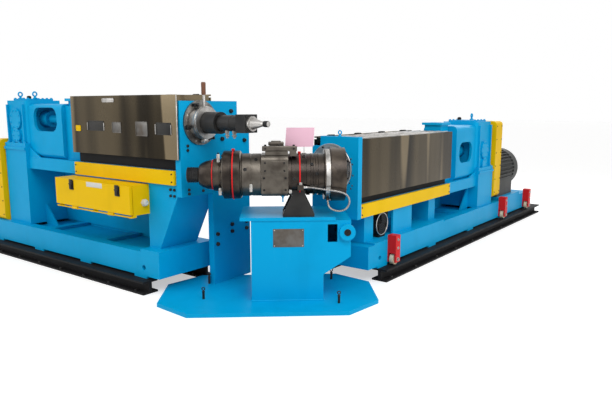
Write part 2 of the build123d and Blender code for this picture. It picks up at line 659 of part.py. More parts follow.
def make_gearbox(unit):
    """Cast gearbox: foot, rounded body, cap, ribs and bearing covers, with its shaft through the lantern."""
    start, end = unit.gearbox_start, unit.gearbox_end
    half = unit.gearbox_half_width
    wall = half - COLUMN_SETBACK
    foot_top = unit.gearbox_bottom + GEARBOX_FOOT
    middle = (start + end) / 2
    with BuildPart() as gearbox:
        box_on(unit, start, end, -half, half, unit.gearbox_bottom, foot_top)
        with BuildSketch(level(unit, foot_top)) as body:
            with Locations((middle, 0)):
                RectangleRounded(end - start, 2 * wall, GEARBOX_ROUND)
        extrude(body.sketch, amount=unit.gearbox_top - foot_top)
        with BuildSketch(level(unit, unit.gearbox_top)) as cap:
            with Locations((middle, 0)):
                RectangleRounded(end - start - 2 * GEARBOX_CAP_INSET, 2 * (wall - GEARBOX_CAP_INSET),
                                 GEARBOX_ROUND)
        extrude(cap.sketch, amount=GEARBOX_CAP_HEIGHT)
        for station in (start + GEARBOX_ROUND, end - GEARBOX_ROUND - RIB_WIDTH):
            box_on(unit, station, station + RIB_WIDTH, -wall - RIB_PROUD, wall + RIB_PROUD, foot_top,
                   unit.gearbox_top - GEARBOX_ROUND)
        with BuildSketch(along(unit, 0)) as covers:
            with Locations((middle, unit.axis_z)):
                Circle(BEARING_RADIUS)
            with Locations((middle, unit.axis_z - INPUT_DROP)):
                Circle(INPUT_RADIUS)
        extrude(covers.sketch, amount=wall + BEARING_PROUD, both=True)
        boss = min(COUNTER_BOSS_RADIUS, (unit.guard_top - unit.gearbox_bottom) / 2)
        rod_on(unit, end, unit.guard_start, boss, 0, min(unit.axis_z, unit.guard_top - boss))
        rod_on(unit, start - COUPLING_LENGTH, start, COUPLING_RADIUS, 0, unit.axis_z)
        rod_on(unit, unit.throat_end, start, SHAFT_RADIUS, 0, unit.axis_z)
    save(gearbox, f"{unit.name}_gearbox")


def make_guard(unit):
    """Closed belt guard across the drive end, round-cornered as seen along the axis."""
    with BuildPart() as guard:
        with BuildSketch(cross(unit, unit.guard_start)) as outline:
            with Locations((0, (unit.guard_bottom + unit.guard_top) / 2)):
                RectangleRounded(2 * GUARD_HALF_WIDTH, unit.guard_top - unit.guard_bottom, GUARD_ROUND)
        extrude(outline.sketch, amount=GUARD_THICKNESS)
    save(guard, f"{unit.name}_belt_guard")


def motor_axis_z(unit):
    """Height of the motor shaft above the floor."""
    return BASE_TOP + MOTOR_PLATE_THICKNESS + MOTOR_FOOT_HEIGHT + unit.motor_radius


def make_motor(unit):
    """Finned motor on two long feet, with a plain cowl over its fan."""
    z = motor_axis_z(unit)
    cowl_start = unit.motor_end - COWL_LENGTH
    core = unit.motor_radius - MOTOR_FIN_HEIGHT
    with BuildPart() as motor:
        rod_on(unit, unit.motor_start, cowl_start, core, 0, z)
        with BuildSketch(cross(unit, unit.motor_start + MOTOR_FIN_HEIGHT)) as fins:
            with Locations((0, z)):
                with PolarLocations(core, MOTOR_FIN_COUNT):
                    Rectangle(2 * MOTOR_FIN_HEIGHT, MOTOR_FIN_WIDTH)
        extrude(fins.sketch, amount=cowl_start - unit.motor_start - 2 * MOTOR_FIN_HEIGHT)
        rod_on(unit, cowl_start, unit.motor_end, unit.motor_radius - COWL_CLEAR, 0, z)
        for side in (-core, core - MOTOR_FOOT_WIDTH):
            box_on(unit, unit.motor_start + MOTOR_FIN_HEIGHT, cowl_start - MOTOR_FIN_HEIGHT,
                   side, side + MOTOR_FOOT_WIDTH, BASE_TOP + MOTOR_PLATE_THICKNESS, z)
    save(motor, f"{unit.name}_motor")


def make_main_legs():
    """Two hollow legs between the main base and the bed, their deck and a plain panel beside the blower."""
    unit = MAIN
    with BuildPart() as legs:
        for station in (LEG_FIRST, LEG_SECOND):
            box_on(unit, station, station + LEG_LENGTH, -LEG_HALF_WIDTH, LEG_HALF_WIDTH,
                   BASE_TOP, unit.bed_bottom)
            box_on(unit, station + LEG_WALL, station + LEG_LENGTH - LEG_WALL, LEG_WALL - LEG_HALF_WIDTH,
                   LEG_HALF_WIDTH - LEG_WALL, BASE_TOP, unit.bed_bottom, mode=Mode.SUBTRACT)
        box_on(unit, LEG_FIRST, LEG_SECOND + LEG_LENGTH, -BASE_HALF_WIDTH, BASE_HALF_WIDTH,
               BASE_TOP, BASE_TOP + LEG_WALL)
        box_on(unit, PANEL_START, PANEL_START + PANEL_LENGTH, unit.bed_half_width - PANEL_THICKNESS,
               unit.bed_half_width, BASE_TOP + LEG_WALL, unit.bed_bottom)
        box_on(unit, PANEL_START, unit.gearbox_start - RUN_GAP, -unit.bed_half_width,
               PANEL_THICKNESS - unit.bed_half_width, BASE_TOP, unit.bed_bottom)
    save(legs, "main_legs")


def make_main_blower():
    """Cooling blower: a round scroll with a duct up to the bed."""
    unit = MAIN
    side = LEG_HALF_WIDTH - BLOWER_INSET
    foot = BASE_TOP + LEG_WALL
    z = foot + BLOWER_FOOT + BLOWER_RADIUS
    low, high = side - BLOWER_WIDTH / 2, side + BLOWER_WIDTH / 2
    with BuildPart() as blower:
        with BuildSketch(along(unit, side)) as scroll:
            with Locations((BLOWER_STATION, z)):
                Circle(BLOWER_RADIUS)
        extrude(scroll.sketch, amount=BLOWER_WIDTH / 2, both=True)
        with BuildSketch(along(unit, high)) as mouth:
            with Locations((BLOWER_STATION, z)):
                Circle(BLOWER_RADIUS - BLOWER_RIM)
        extrude(mouth.sketch, amount=-BLOWER_RIM_DEPTH, mode=Mode.SUBTRACT)
        box_on(unit, BLOWER_STATION, BLOWER_STATION + BLOWER_RADIUS, low, high, z, unit.bed_bottom)
        box_on(unit, BLOWER_STATION - BLOWER_RADIUS / 2, BLOWER_STATION + BLOWER_RADIUS / 2, low, high,
               foot, z)
    save(blower, "main_blower")


FRONT_WHEEL = MAIN_BASE_START + FRONT_WHEEL_INSET
MIDDLE_WHEEL = MAIN_BASE_START + MAIN_BASE_LENGTH - MIDDLE_WHEEL_INSET
REAR_WHEEL = MAIN_BASE_START + MAIN_BASE_LENGTH - REAR_WHEEL_INSET
WHEEL_PLACES = (
    ("front_near", FRONT_WHEEL, 1), ("front_far", FRONT_WHEEL, -1),
    ("middle_near", MIDDLE_WHEEL, 1), ("middle_far", MIDDLE_WHEEL, -1),
    ("rear_near", REAR_WHEEL, 1), ("rear_far", REAR_WHEEL, -1))
WHEEL_SIDE = BASE_HALF_WIDTH + FORK_WIDTH / 2
WHEEL_Z = RAIL_HEIGHT + RUN_GAP + WHEEL_RADIUS


def make_casters():
    """Red fork brackets on the base's sides, each with its fixed axle."""
    unit = MAIN
    cap_bottom = WHEEL_Z + WHEEL_RADIUS + RUN_GAP
    with BuildPart() as forks:
        for _, station, hand in WHEEL_PLACES:
            inner, outer = hand * BASE_HALF_WIDTH, hand * (BASE_HALF_WIDTH + FORK_WIDTH)
            low, high = min(inner, outer), max(inner, outer)
            start, end = station - FORK_LENGTH / 2, station + FORK_LENGTH / 2
            box_on(unit, start, end, low, high, cap_bottom, cap_bottom + FORK_CAP_HEIGHT)
            for wall in (low, high - FORK_WALL):
                box_on(unit, start, end, wall, wall + FORK_WALL, WHEEL_Z - FORK_DROP, cap_bottom)
            with BuildSketch(along(unit, hand * WHEEL_SIDE)) as axle:
                with Locations((station, WHEEL_Z)):
                    Circle(AXLE_RADIUS)
            extrude(axle.sketch, amount=FORK_WIDTH / 2, both=True)
    save(forks, "main_caster_forks")


def make_wheels():
    """Pale caster wheels, each turning on its own axle."""
    for place, station, hand in WHEEL_PLACES:
        with BuildPart() as wheel:
            with BuildSketch(along(MAIN, hand * WHEEL_SIDE)) as tread:
                with Locations((station, WHEEL_Z)):
                    Circle(WHEEL_RADIUS)
                    Circle(AXLE_RADIUS + SEAT_GAP, mode=Mode.SUBTRACT)
            extrude(tread.sketch, amount=WHEEL_WIDTH / 2, both=True)
        save(wheel, f"main_wheel_{place}")


def make_aux_uprights():
    """Box stand under the front plate: leaning sides, a sloping sheet and a foot, and a column beside it."""
    unit = AUX
    front_line = ((UPRIGHT_FRONT, BASE_TOP), (PLATE_THICKNESS, AUX_PLATE_BOTTOM))
    with BuildPart() as uprights:
        for side in (-UPRIGHT_INSET, UPRIGHT_INSET):
            with BuildSketch(along(unit, side)) as plate:
                with BuildLine():
                    Polyline(*front_line, (PLATE_THICKNESS, unit.bed_bottom), (UPRIGHT_REAR, unit.bed_bottom),
                             (UPRIGHT_REAR, BASE_TOP), close=True)
                make_face()
            extrude(plate.sketch, amount=UPRIGHT_THICKNESS / 2, both=True)
        box_on(unit, UPRIGHT_REAR, unit.gearbox_start - RUN_GAP, -UPRIGHT_INSET - UPRIGHT_THICKNESS / 2,
               UPRIGHT_THICKNESS / 2 - UPRIGHT_INSET, BASE_TOP, unit.bed_bottom)
        with BuildSketch(along(unit, 0)) as sheet:
            with BuildLine():
                Polyline(*front_line, (PLATE_THICKNESS + UPRIGHT_SHEET, AUX_PLATE_BOTTOM),
                         (UPRIGHT_FRONT + UPRIGHT_SHEET, BASE_TOP), close=True)
            make_face()
        extrude(sheet.sketch, amount=UPRIGHT_INSET, both=True)
        box_on(unit, unit.base_start, UPRIGHT_REAR, -BASE_HALF_WIDTH, BASE_HALF_WIDTH,
               BASE_TOP, BASE_TOP + UPRIGHT_THICKNESS)
    save(uprights, "aux_uprights")
    with BuildPart() as column:
        box_on(unit, 0, PLATE_THICKNESS, COLUMN_FAR, COLUMN_NEAR, FLOOR_THICKNESS, AUX_PLATE_BOTTOM)
    save(column, "aux_column")


def make_aux_nose():
    """Clamp ring with its lever, the black pipe with its block, and the bright cone with its tip."""
    unit = AUX
    z = unit.axis_z
    ring_end = -DISC_THICKNESS
    ring_start = ring_end - RING_LENGTH
    pipe_start = ring_start - PIPE_LENGTH
    neck_start = pipe_start - NECK_LENGTH
    block_start = neck_start - NOSE_BLOCK_LENGTH
    collar_start = block_start - NOSE_COLLAR_LENGTH
    cone_start = collar_start - NOSE_CONE_LENGTH
    tip_start = cone_start - NOSE_TIP_LENGTH
    with BuildPart() as ring:
        rod_on(unit, ring_start, ring_end, RING_RADIUS, 0, z)
        with BuildSketch(level(unit, z)) as lever:
            with Locations(((ring_start + ring_end) / 2, 0)):
                Circle(LEVER_RADIUS)
        extrude(lever.sketch, amount=RING_RADIUS + LEVER_HEIGHT)
        rod_on(unit, ring_start, ring_end, FEED_NECK_RADIUS, 0, z, mode=Mode.SUBTRACT)
    save(ring, "aux_clamp_ring")
    with BuildPart() as pipe:
        rod_on(unit, pipe_start, ring_start, PIPE_RADIUS, 0, z)
        rod_on(unit, neck_start, pipe_start, NECK_RADIUS, 0, z)
        box_on(unit, block_start, neck_start, -NOSE_BLOCK_HALF, NOSE_BLOCK_HALF, z - NOSE_BLOCK_HALF,
               z + NOSE_BLOCK_HALF)
    save(pipe, "aux_nose_pipe")
    with BuildPart() as cone:
        rod_on(unit, collar_start, block_start, NOSE_COLLAR_RADIUS, 0, z)
        with BuildSketch(cross(unit, collar_start)) as wide:
            with Locations((0, z)):
                Circle(NOSE_CONE_RADIUS)
        with BuildSketch(cross(unit, cone_start)) as narrow:
            with Locations((0, z)):
                Circle(NOSE_TIP_RADIUS)
        loft([wide.sketch.face(), narrow.sketch.face()])
        rod_on(unit, tip_start, cone_start, NOSE_TIP_RADIUS, 0, z)
    save(cone, "aux_nose_cone")


BOX_BACK = UPRIGHT_INSET + UPRIGHT_THICKNESS / 2
BOX_FRONT = BOX_BACK + BOX_DEPTH
BOX_END = BOX_START + BOX_LENGTH
LID_BACK = BOX_FRONT + RUN_GAP
BOX_PIN_SIDE = LID_BACK + BOX_LID_THICKNESS / 2
BOX_PIN_Z = BOX_BOTTOM - BOX_KNUCKLE_RADIUS
BOX_LUG_STATIONS = (BOX_START, (BOX_START + BOX_END - BOX_LUG_LENGTH) / 2, BOX_END - BOX_LUG_LENGTH)


def make_junction_box():
    """Open-fronted sheet box hung on the auxiliary upright, and the lugs and pin under it for its lid."""
    unit = AUX
    top = BOX_BOTTOM + BOX_HEIGHT
    with BuildPart() as box:
        box_on(unit, BOX_START, BOX_END, BOX_BACK, BOX_FRONT, BOX_BOTTOM, top)
        box_on(unit, BOX_START + BOX_WALL, BOX_END - BOX_WALL, BOX_BACK + BOX_WALL, BOX_FRONT,
               BOX_BOTTOM + BOX_WALL, top - BOX_WALL, mode=Mode.SUBTRACT)
    save(box, "junction_box")
    with BuildPart() as hinge:
        for lug in BOX_LUG_STATIONS:
            box_on(unit, lug, lug + BOX_LUG_LENGTH, BOX_FRONT - BOX_LUG_LENGTH,
                   BOX_PIN_SIDE + BOX_PIN_RADIUS, BOX_PIN_Z - BOX_PIN_RADIUS, BOX_PIN_Z + BOX_PIN_RADIUS)
            box_on(unit, lug, lug + BOX_LUG_LENGTH, BOX_FRONT - BOX_LUG_LENGTH, BOX_FRONT,
                   BOX_PIN_Z, BOX_BOTTOM)
        rod_on(unit, BOX_START, BOX_END, BOX_PIN_RADIUS, BOX_PIN_SIDE, BOX_PIN_Z)
    save(hinge, "junction_box_hinge")


def make_junction_box_lid():
    """Front lid of the junction box with two knuckles on its lower edge."""
    unit = AUX
    bottom = BOX_BOTTOM + BOX_LID_RISE
    top = BOX_BOTTOM + BOX_HEIGHT
    first, middle, last = BOX_LUG_STATIONS
    with BuildPart() as lid:
        box_on(unit, BOX_START, BOX_END, LID_BACK, LID_BACK + BOX_LID_THICKNESS, bottom, top)
        box_on(unit, BOX_START + BOX_WALL, BOX_END - BOX_WALL, LID_BACK,
               LID_BACK + BOX_LID_THICKNESS - BOX_WALL, bottom + BOX_WALL, top - BOX_WALL, mode=Mode.SUBTRACT)
        for left, right in ((first, middle), (middle, last)):
            start = (left + BOX_LUG_LENGTH + right - BOX_KNUCKLE_LENGTH) / 2
            end = start + BOX_KNUCKLE_LENGTH
            rod_on(unit, start, end, BOX_KNUCKLE_RADIUS, BOX_PIN_SIDE, BOX_PIN_Z)
            box_on(unit, start, end, BOX_PIN_SIDE - BOX_PIN_RADIUS, BOX_PIN_SIDE + BOX_PIN_RADIUS,
                   BOX_PIN_Z, bottom)
            rod_on(unit, start, end, BOX_PIN_RADIUS + SEAT_GAP, BOX_PIN_SIDE, BOX_PIN_Z, mode=Mode.SUBTRACT)
    save(lid, "junction_box_lid")


HEAD = make_lane("head", (0, 0, 0), (cos(radians(CROSSHEAD_ANGLE)), sin(radians(CROSSHEAD_ANGLE)), 0), -1)


def make_floor_plate():
    """Large floor plate with cut corners."""
    left, right, front, back = -FLOOR_LEFT, FLOOR_RIGHT, -FLOOR_FRONT, FLOOR_BACK
    cut = FLOOR_CORNER
    with BuildPart() as plate:
        with BuildSketch(level(HEAD, 0)) as outline:
            with BuildLine():
                Polyline((left + cut, front), (right - cut, front), (right, front + cut), (right, back - cut),
                         (right - cut, back), (left + cut, back), (left, back - cut), (left, front + cut),
                         close=True)
            make_face()
        extrude(outline.sketch, amount=FLOOR_THICKNESS)
    save(plate, "floor_plate")


def make_pedestal():
    """Hollow welded pedestal with a jutting head and a window in its front."""
    with BuildPart() as pedestal:
        with BuildSketch(along(HEAD, PEDESTAL_FRONT)) as outline:
            with BuildLine():
                Polyline((-PEDESTAL_LEFT, FLOOR_THICKNESS), (PEDESTAL_FOOT_RIGHT, FLOOR_THICKNESS),
                         (PEDESTAL_FOOT_RIGHT, PEDESTAL_KNEE_LOW), (PEDESTAL_HEAD_RIGHT, PEDESTAL_KNEE_HIGH),
                         (PEDESTAL_HEAD_RIGHT, PEDESTAL_TOP), (-PEDESTAL_LEFT, PEDESTAL_TOP), close=True)
            make_face()
        extrude(outline.sketch, amount=-PEDESTAL_DEPTH)
        with BuildSketch(along(HEAD, PEDESTAL_FRONT - PEDESTAL_WALL)) as hollow:
            add(outline.sketch.moved(Location(HEAD.left * PEDESTAL_WALL)))
            offset(amount=-PEDESTAL_WALL, kind=Kind.INTERSECTION, mode=Mode.REPLACE)
        extrude(hollow.sketch, amount=-(PEDESTAL_DEPTH - 2 * PEDESTAL_WALL), mode=Mode.SUBTRACT)
        box_on(HEAD, WINDOW_CENTRE - WINDOW_WIDTH / 2, WINDOW_CENTRE + WINDOW_WIDTH / 2,
               PEDESTAL_FRONT - PEDESTAL_WALL, PEDESTAL_FRONT, WINDOW_BOTTOM, WINDOW_BOTTOM + WINDOW_HEIGHT,
               mode=Mode.SUBTRACT)
        with BuildSketch(along(HEAD, PEDESTAL_FRONT)) as ear:
            with Locations((EAR_STATION, EAR_Z)):
                Circle(EAR_RADIUS)
                Circle(EAR_HOLE_RADIUS, mode=Mode.SUBTRACT)
        extrude(ear.sketch, amount=EAR_PROUD)
    save(pedestal, "pedestal")


def make_table():
    """Table plate on the pedestal."""
    with BuildPart() as table:
        box_on(HEAD, -TABLE_LEFT, TABLE_RIGHT, -TABLE_BACK, PEDESTAL_FRONT + TABLE_LIP, PEDESTAL_TOP,
               TABLE_TOP)
    save(table, "pedestal_table")


def make_crosshead():
    """Crosshead pieces in a row along its axis, from the nose nut to the rear flange."""
    z = MAIN_AXIS_Z
    block_start = BLOCK_END - BLOCK_LENGTH
    body_start = block_start - BODY_LENGTH
    flange_start = body_start - FLANGE_LENGTH
    collar_start = flange_start - COLLAR_LENGTH
    cone_start = collar_start - CONE_LENGTH
    nut_start = cone_start - NUT_LENGTH
    barrel_end = BLOCK_END + BARREL_LENGTH
    ring_end = barrel_end + REAR_RING_LENGTH
    rear_end = barrel_end + REAR_FLANGE_LENGTH
    with BuildPart() as nut:
        with BuildSketch(cross(HEAD, nut_start)) as outline:
            with Locations((0, z)):
                RegularPolygon(NUT_RADIUS, NUT_SIDES)
                Circle(BORE_RADIUS, mode=Mode.SUBTRACT)
        extrude(outline.sketch, amount=NUT_LENGTH)
    save(nut, "crosshead_nose_nut")
    with BuildPart() as body:
        with BuildSketch(cross(HEAD, cone_start)) as narrow:
            with Locations((0, z)):
                Circle(NUT_RADIUS)
        with BuildSketch(cross(HEAD, collar_start)) as wide:
            with Locations((0, z)):
                Circle(COLLAR_RADIUS)
        loft([narrow.sketch.face(), wide.sketch.face()])
        rod_on(HEAD, collar_start, flange_start, COLLAR_RADIUS, 0, z)
        rod_on(HEAD, flange_start, body_start, FLANGE_RADIUS, 0, z)
        rod_on(HEAD, body_start, block_start, BODY_RADIUS, 0, z)
        rod_on(HEAD, cone_start, block_start, BORE_RADIUS, 0, z, mode=Mode.SUBTRACT)
    save(body, "crosshead_body")
    with BuildPart() as block:
        with BuildSketch(cross(HEAD, block_start)) as outline:
            with Locations((0, z + (BLOCK_HALF - BLOCK_UNDER) / 2)):
                RectangleRounded(2 * BLOCK_HALF, BLOCK_HALF + BLOCK_UNDER, BLOCK_ROUND)
        extrude(outline.sketch, amount=BLOCK_LENGTH)
        box_on(HEAD, block_start + CAP_INSET, BLOCK_END, CAP_INSET - BLOCK_HALF, BLOCK_HALF - CAP_INSET,
               z + BLOCK_HALF, z + BLOCK_HALF + CAP_HEIGHT)
        box_on(HEAD, block_start + TOP_BLOCK_INSET, BLOCK_END - CAP_INSET, -TOP_BLOCK_INSET, TOP_BLOCK_INSET,
               z + BLOCK_HALF + CAP_HEIGHT, z + BLOCK_HALF + CAP_HEIGHT + TOP_BLOCK_HEIGHT)
    save(block, "crosshead_block")
    with BuildPart() as barrel:
        rod_on(HEAD, BLOCK_END, barrel_end, BARREL_RADIUS, 0, z)
        for start, length in BARREL_RINGS:
            rod_on(HEAD, BLOCK_END + start, BLOCK_END + start + length, BARREL_RADIUS + BARREL_STEP, 0, z)
        exit_station, _, exit_z = CONDUIT_ROUTE[0]
        box_on(HEAD, exit_station - CONNECTOR_LENGTH, exit_station, CONNECTOR_INNER, CONNECTOR_OUTER,
               exit_z - CONNECTOR_HALF_HEIGHT, exit_z + CONNECTOR_HALF_HEIGHT)
    save(barrel, "crosshead_barrel")
    with BuildPart() as rear:
        rod_on(HEAD, barrel_end, ring_end, REAR_FLANGE_RADIUS - REAR_RING_DROP, 0, z)
        rod_on(HEAD, ring_end, rear_end, REAR_FLANGE_RADIUS, 0, z)
        tip = point(HEAD, *CONDUIT_ROUTE[-1])
        with BuildSketch(Plane(tip, z_dir=tip - point(HEAD, *CONDUIT_ROUTE[-2]))) as gland:
            Circle(GLAND_RADIUS)
        extrude(gland.sketch, amount=GLAND_SEAT)
    save(rear, "crosshead_rear_flange")
    with BuildPart() as neck:
        rod_on(MAIN, -MAIN_PLATE_Y, 0, FEED_NECK_RADIUS, 0, z)
        rod_on(HEAD, BLOCK_END, barrel_end, BARREL_RADIUS + BARREL_STEP, 0, z, mode=Mode.SUBTRACT)
        box_on(HEAD, block_start, BLOCK_END, -BLOCK_HALF, BLOCK_HALF, z - BLOCK_HALF, z + BLOCK_HALF,
               mode=Mode.SUBTRACT)
    save(neck, "main_feed_neck")


def make_cradle():
    """Dark cradle with a round seat under the crosshead's barrel, braced along the axis."""
    z = MAIN_AXIS_Z
    end = CRADLE_START + CRADLE_LENGTH
    foot_top = TABLE_TOP + CRADLE_FOOT
    web = CRADLE_HALF_WIDTH - CRADLE_WEB / 2
    with BuildPart() as cradle:
        box_on(HEAD, CRADLE_START - CRADLE_SPREAD, end + CRADLE_SPREAD, -CRADLE_HALF_WIDTH, CRADLE_HALF_WIDTH,
               TABLE_TOP, foot_top)
        box_on(HEAD, CRADLE_START, end, -CRADLE_HALF_WIDTH, CRADLE_HALF_WIDTH, foot_top,
               z - BARREL_RADIUS + CRADLE_WRAP)
        for side in (-web, web):
            with BuildSketch(along(HEAD, side)) as brace:
                with BuildLine():
                    Polyline((CRADLE_START - CRADLE_SPREAD, foot_top), (end + CRADLE_SPREAD, foot_top),
                             (end, z - BARREL_RADIUS), (CRADLE_START, z - BARREL_RADIUS), close=True)
                make_face()
            extrude(brace.sketch, amount=CRADLE_WEB / 2, both=True)
        rod_on(HEAD, CRADLE_START, end, BARREL_RADIUS + SEAT_GAP, 0, z, mode=Mode.SUBTRACT)
    save(cradle, "crosshead_cradle")


def make_conduit():
    """Plain tube of the braided conduit: straight runs joined by arcs as large as the runs allow."""
    places = [point(HEAD, *place) for place in CONDUIT_ROUTE]
    radii = []
    for before, here, after in zip(places, places[1:], places[2:]):
        turn = radians((here - before).get_angle(after - here))
        radii.append(ARC_SHARE * min((here - before).length, (after - here).length) / tan(turn / 2))
    with BuildPart() as conduit:
        with BuildLine() as route:
            FilletPolyline(*places, radius=radii)
        with BuildSketch(Plane(places[0], z_dir=places[1] - places[0])):
            Circle(CONDUIT_RADIUS)
        sweep(path=route.line)
    section = pi * CONDUIT_RADIUS ** 2
    print("conduit length", route.wire().length, "tube length by volume", conduit.part.volume / section)
    print("conduit radii", [round(radius) for radius in radii])
    save(conduit, "crosshead_conduit")


for machine in (MAIN, AUX):
    make_rails(machine)
    make_base(machine)
    make_barrel_disc(machine)
    make_bed(machine)
    make_bar(machine)
    make_rear_panel(machine)
    make_hood(machine)
    make_tray(machine)
    make_barrel(machine)
    make_throat(machine)
    make_lantern(machine)
    make_gear_stand(machine)
    make_gearbox(machine)
    make_guard(machine)
    make_motor(machine)

make_main_front_plate()
make_main_legs()
make_main_blower()
make_casters()
make_wheels()
make_aux_front_plate()
make_aux_uprights()
make_aux_nose()
make_junction_box()
make_junction_box_lid()
make_floor_plate()
make_pedestal()
make_table()
make_crosshead()
make_cradle()
make_conduit()
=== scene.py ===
"""Looks of the two-machine extrusion line: finishes, fasteners, fittings, light and camera."""
import json
from math import copysign, cos, pi, radians, sin

import bmesh
import bpy
from mathutils import Matrix, Vector


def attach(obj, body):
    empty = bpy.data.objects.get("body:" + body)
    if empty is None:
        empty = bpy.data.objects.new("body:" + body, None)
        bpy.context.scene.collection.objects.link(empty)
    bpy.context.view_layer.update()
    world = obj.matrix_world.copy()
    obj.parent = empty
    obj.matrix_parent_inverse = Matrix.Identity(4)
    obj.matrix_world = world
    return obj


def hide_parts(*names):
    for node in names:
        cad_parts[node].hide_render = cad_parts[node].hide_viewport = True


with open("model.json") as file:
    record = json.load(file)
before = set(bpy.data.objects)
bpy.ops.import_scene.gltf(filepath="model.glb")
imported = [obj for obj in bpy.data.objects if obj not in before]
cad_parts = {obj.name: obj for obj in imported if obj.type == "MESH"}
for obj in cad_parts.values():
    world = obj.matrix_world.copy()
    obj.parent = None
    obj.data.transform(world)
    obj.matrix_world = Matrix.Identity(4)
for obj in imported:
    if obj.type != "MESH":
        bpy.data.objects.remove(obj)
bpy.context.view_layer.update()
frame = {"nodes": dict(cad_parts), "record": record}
NODES = frame["nodes"]
SCENE = bpy.context.scene

# The photograph's camera, worked out from the vanishing points of the two machines
PHOTO_WIDTH = 612
FOCAL_PIXELS = 600.0
SENSOR = 36.0
CAMERA_PLACE = (2.882, -3.588, 1.52)
CAMERA_AZIMUTH = 37.15
CAMERA_DROP = 9.28

# Route of the braided conduit in the crosshead's directions: station, side and height
CONDUIT_ROUTE = (
    (0.105, 0.15, 0.918), (0.15, 0.15, 0.918), (0.205, 0.172, 0.913), (0.262, 0.195, 0.906),
    (0.318, 0.206, 0.9), (0.372, 0.208, 0.891), (0.418, 0.204, 0.874), (0.446, 0.197, 0.837),
    (0.446, 0.188, 0.789), (0.418, 0.178, 0.75), (0.372, 0.166, 0.735), (0.318, 0.15, 0.747),
    (0.29, 0.1353, 0.7768), (0.29, 0.113, 0.8136))
CONDUIT_RADIUS = 0.007

# Directions in a lane: along it, towards the viewer, up, and their opposites
AHEAD = (1.0, 0.0, 0.0)
BACK = (-1.0, 0.0, 0.0)
NEAR = (0.0, 1.0, 0.0)
FAR = (0.0, -1.0, 0.0)
UP = (0.0, 0.0, 1.0)
DOWN = (0.0, 0.0, -1.0)

# Heights of the machines' axes: the crosshead and the main machine share one
AXIS_Z = 1.0
AUX_AXIS_Z = 1.39

# Factors of a noise that isn't drawn out along any axis
EVEN = (1.0, 1.0, 1.0)

# Colours of the finishes, as written into the shaders
BLUE = (0.0, 0.328, 0.625)
BLUE_WORN = (0.06, 0.42, 0.66)
YELLOW = (0.76, 0.475, 0.0)
YELLOW_WORN = (0.55, 0.38, 0.03)
# The hood sheet's colours: dark and mid streaks, part uneven tone and part painted reflection, and a
# pale painted reflection band
HOOD = (0.09, 0.07, 0.042)
HOOD_DARK = (0.014, 0.011, 0.007)
HOOD_REFLECTION_PAINT = (0.3, 0.235, 0.145)
IRON = (0.03, 0.025, 0.022)
IRON_PALE = (0.085, 0.069, 0.055)
IRON_WORN = (0.115, 0.102, 0.086)
IRON_STAINED = (0.058, 0.049, 0.041)
BRIGHT = (0.5, 0.485, 0.465)
BRIGHT_DARK = (0.27, 0.26, 0.245)
DULL = (0.24, 0.23, 0.215)
DULL_DARK = (0.12, 0.113, 0.104)
PLATE = (0.13, 0.125, 0.118)
BLACK = (0.012, 0.012, 0.013)
BLACK_DUSTY = (0.036, 0.035, 0.033)
RED = (0.6, 0.018, 0.02)
RED_WORN = (0.34, 0.05, 0.04)
PALE = (0.66, 0.56, 0.4)
PALE_DIRTY = (0.36, 0.29, 0.2)
# Dark motor paint, and its lighter edge colour: part wear, part painted highlight on the rib edges
GREY = (0.06, 0.062, 0.06)
GREY_WEAR_AND_HIGHLIGHT = (0.24, 0.24, 0.225)
WHITE = (0.6, 0.6, 0.57)
WHITE_DIRTY = (0.36, 0.34, 0.3)
PINK = (0.76, 0.47, 0.58)
PINK_FADED = (0.78, 0.57, 0.64)
BROWN = (0.17, 0.08, 0.05)
BROWN_WORN = (0.38, 0.25, 0.17)
FLOOR = (0.66, 0.66, 0.655)
FLOOR_GLOW = (0.49, 0.49, 0.49)
NO_GLOW = (0.0, 0.0, 0.0)


class Wire:
    """A node value: arithmetic on it adds Math nodes to its tree."""

    def __init__(self, tree, socket):
        self.tree = tree
        self.socket = socket

    def math(self, operation, first, second):
        """One Math node on two values, each a Wire or a number."""
        node = self.tree.nodes.new("ShaderNodeMath")
        node.operation = operation
        for slot, value in zip(node.inputs, (first, second)):
            if isinstance(value, Wire):
                self.tree.links.new(value.socket, slot)
            else:
                slot.default_value = value
        return Wire(self.tree, node.outputs[0])

    def __add__(self, other):
        return self.math("ADD", self, other)

    def __radd__(self, other):
        return self.math("ADD", other, self)

    def __sub__(self, other):
        return self.math("SUBTRACT", self, other)

    def __rsub__(self, other):
        return self.math("SUBTRACT", other, self)

    def __mul__(self, other):
        return self.math("MULTIPLY", self, other)


class Graph:
    """A node tree in the making."""

    def __init__(self, tree):
        self.tree = tree

    def node(self, kind, settings=None, out=0, **inputs):
        """Add a node, set its settings, then feed its sockets, and return one output."""
        made = self.tree.nodes.new(kind)
        for key, value in (settings or {}).items():
            setattr(made, key, value)
        for key, value in inputs.items():
            self.feed(made.inputs[key.replace("_", " ")], value)
        return Wire(self.tree, made.outputs[out])

    def feed(self, socket, value):
        """Link a Wire into a socket, or set a plain value on it."""
        if isinstance(value, Wire):
            self.tree.links.new(value.socket, socket)
        else:
            socket.default_value = value

    def shown(self):
        """1 on camera, glossy and transmission rays, and 0 on the rays that light the scene."""
        path = self.node("ShaderNodeLightPath").socket.node.outputs
        seen = Wire(self.tree, path["Is Camera Ray"])
        for name in ("Is Glossy Ray", "Is Transmission Ray"):
            seen = seen.math("MAXIMUM", seen, Wire(self.tree, path[name]))
        return seen


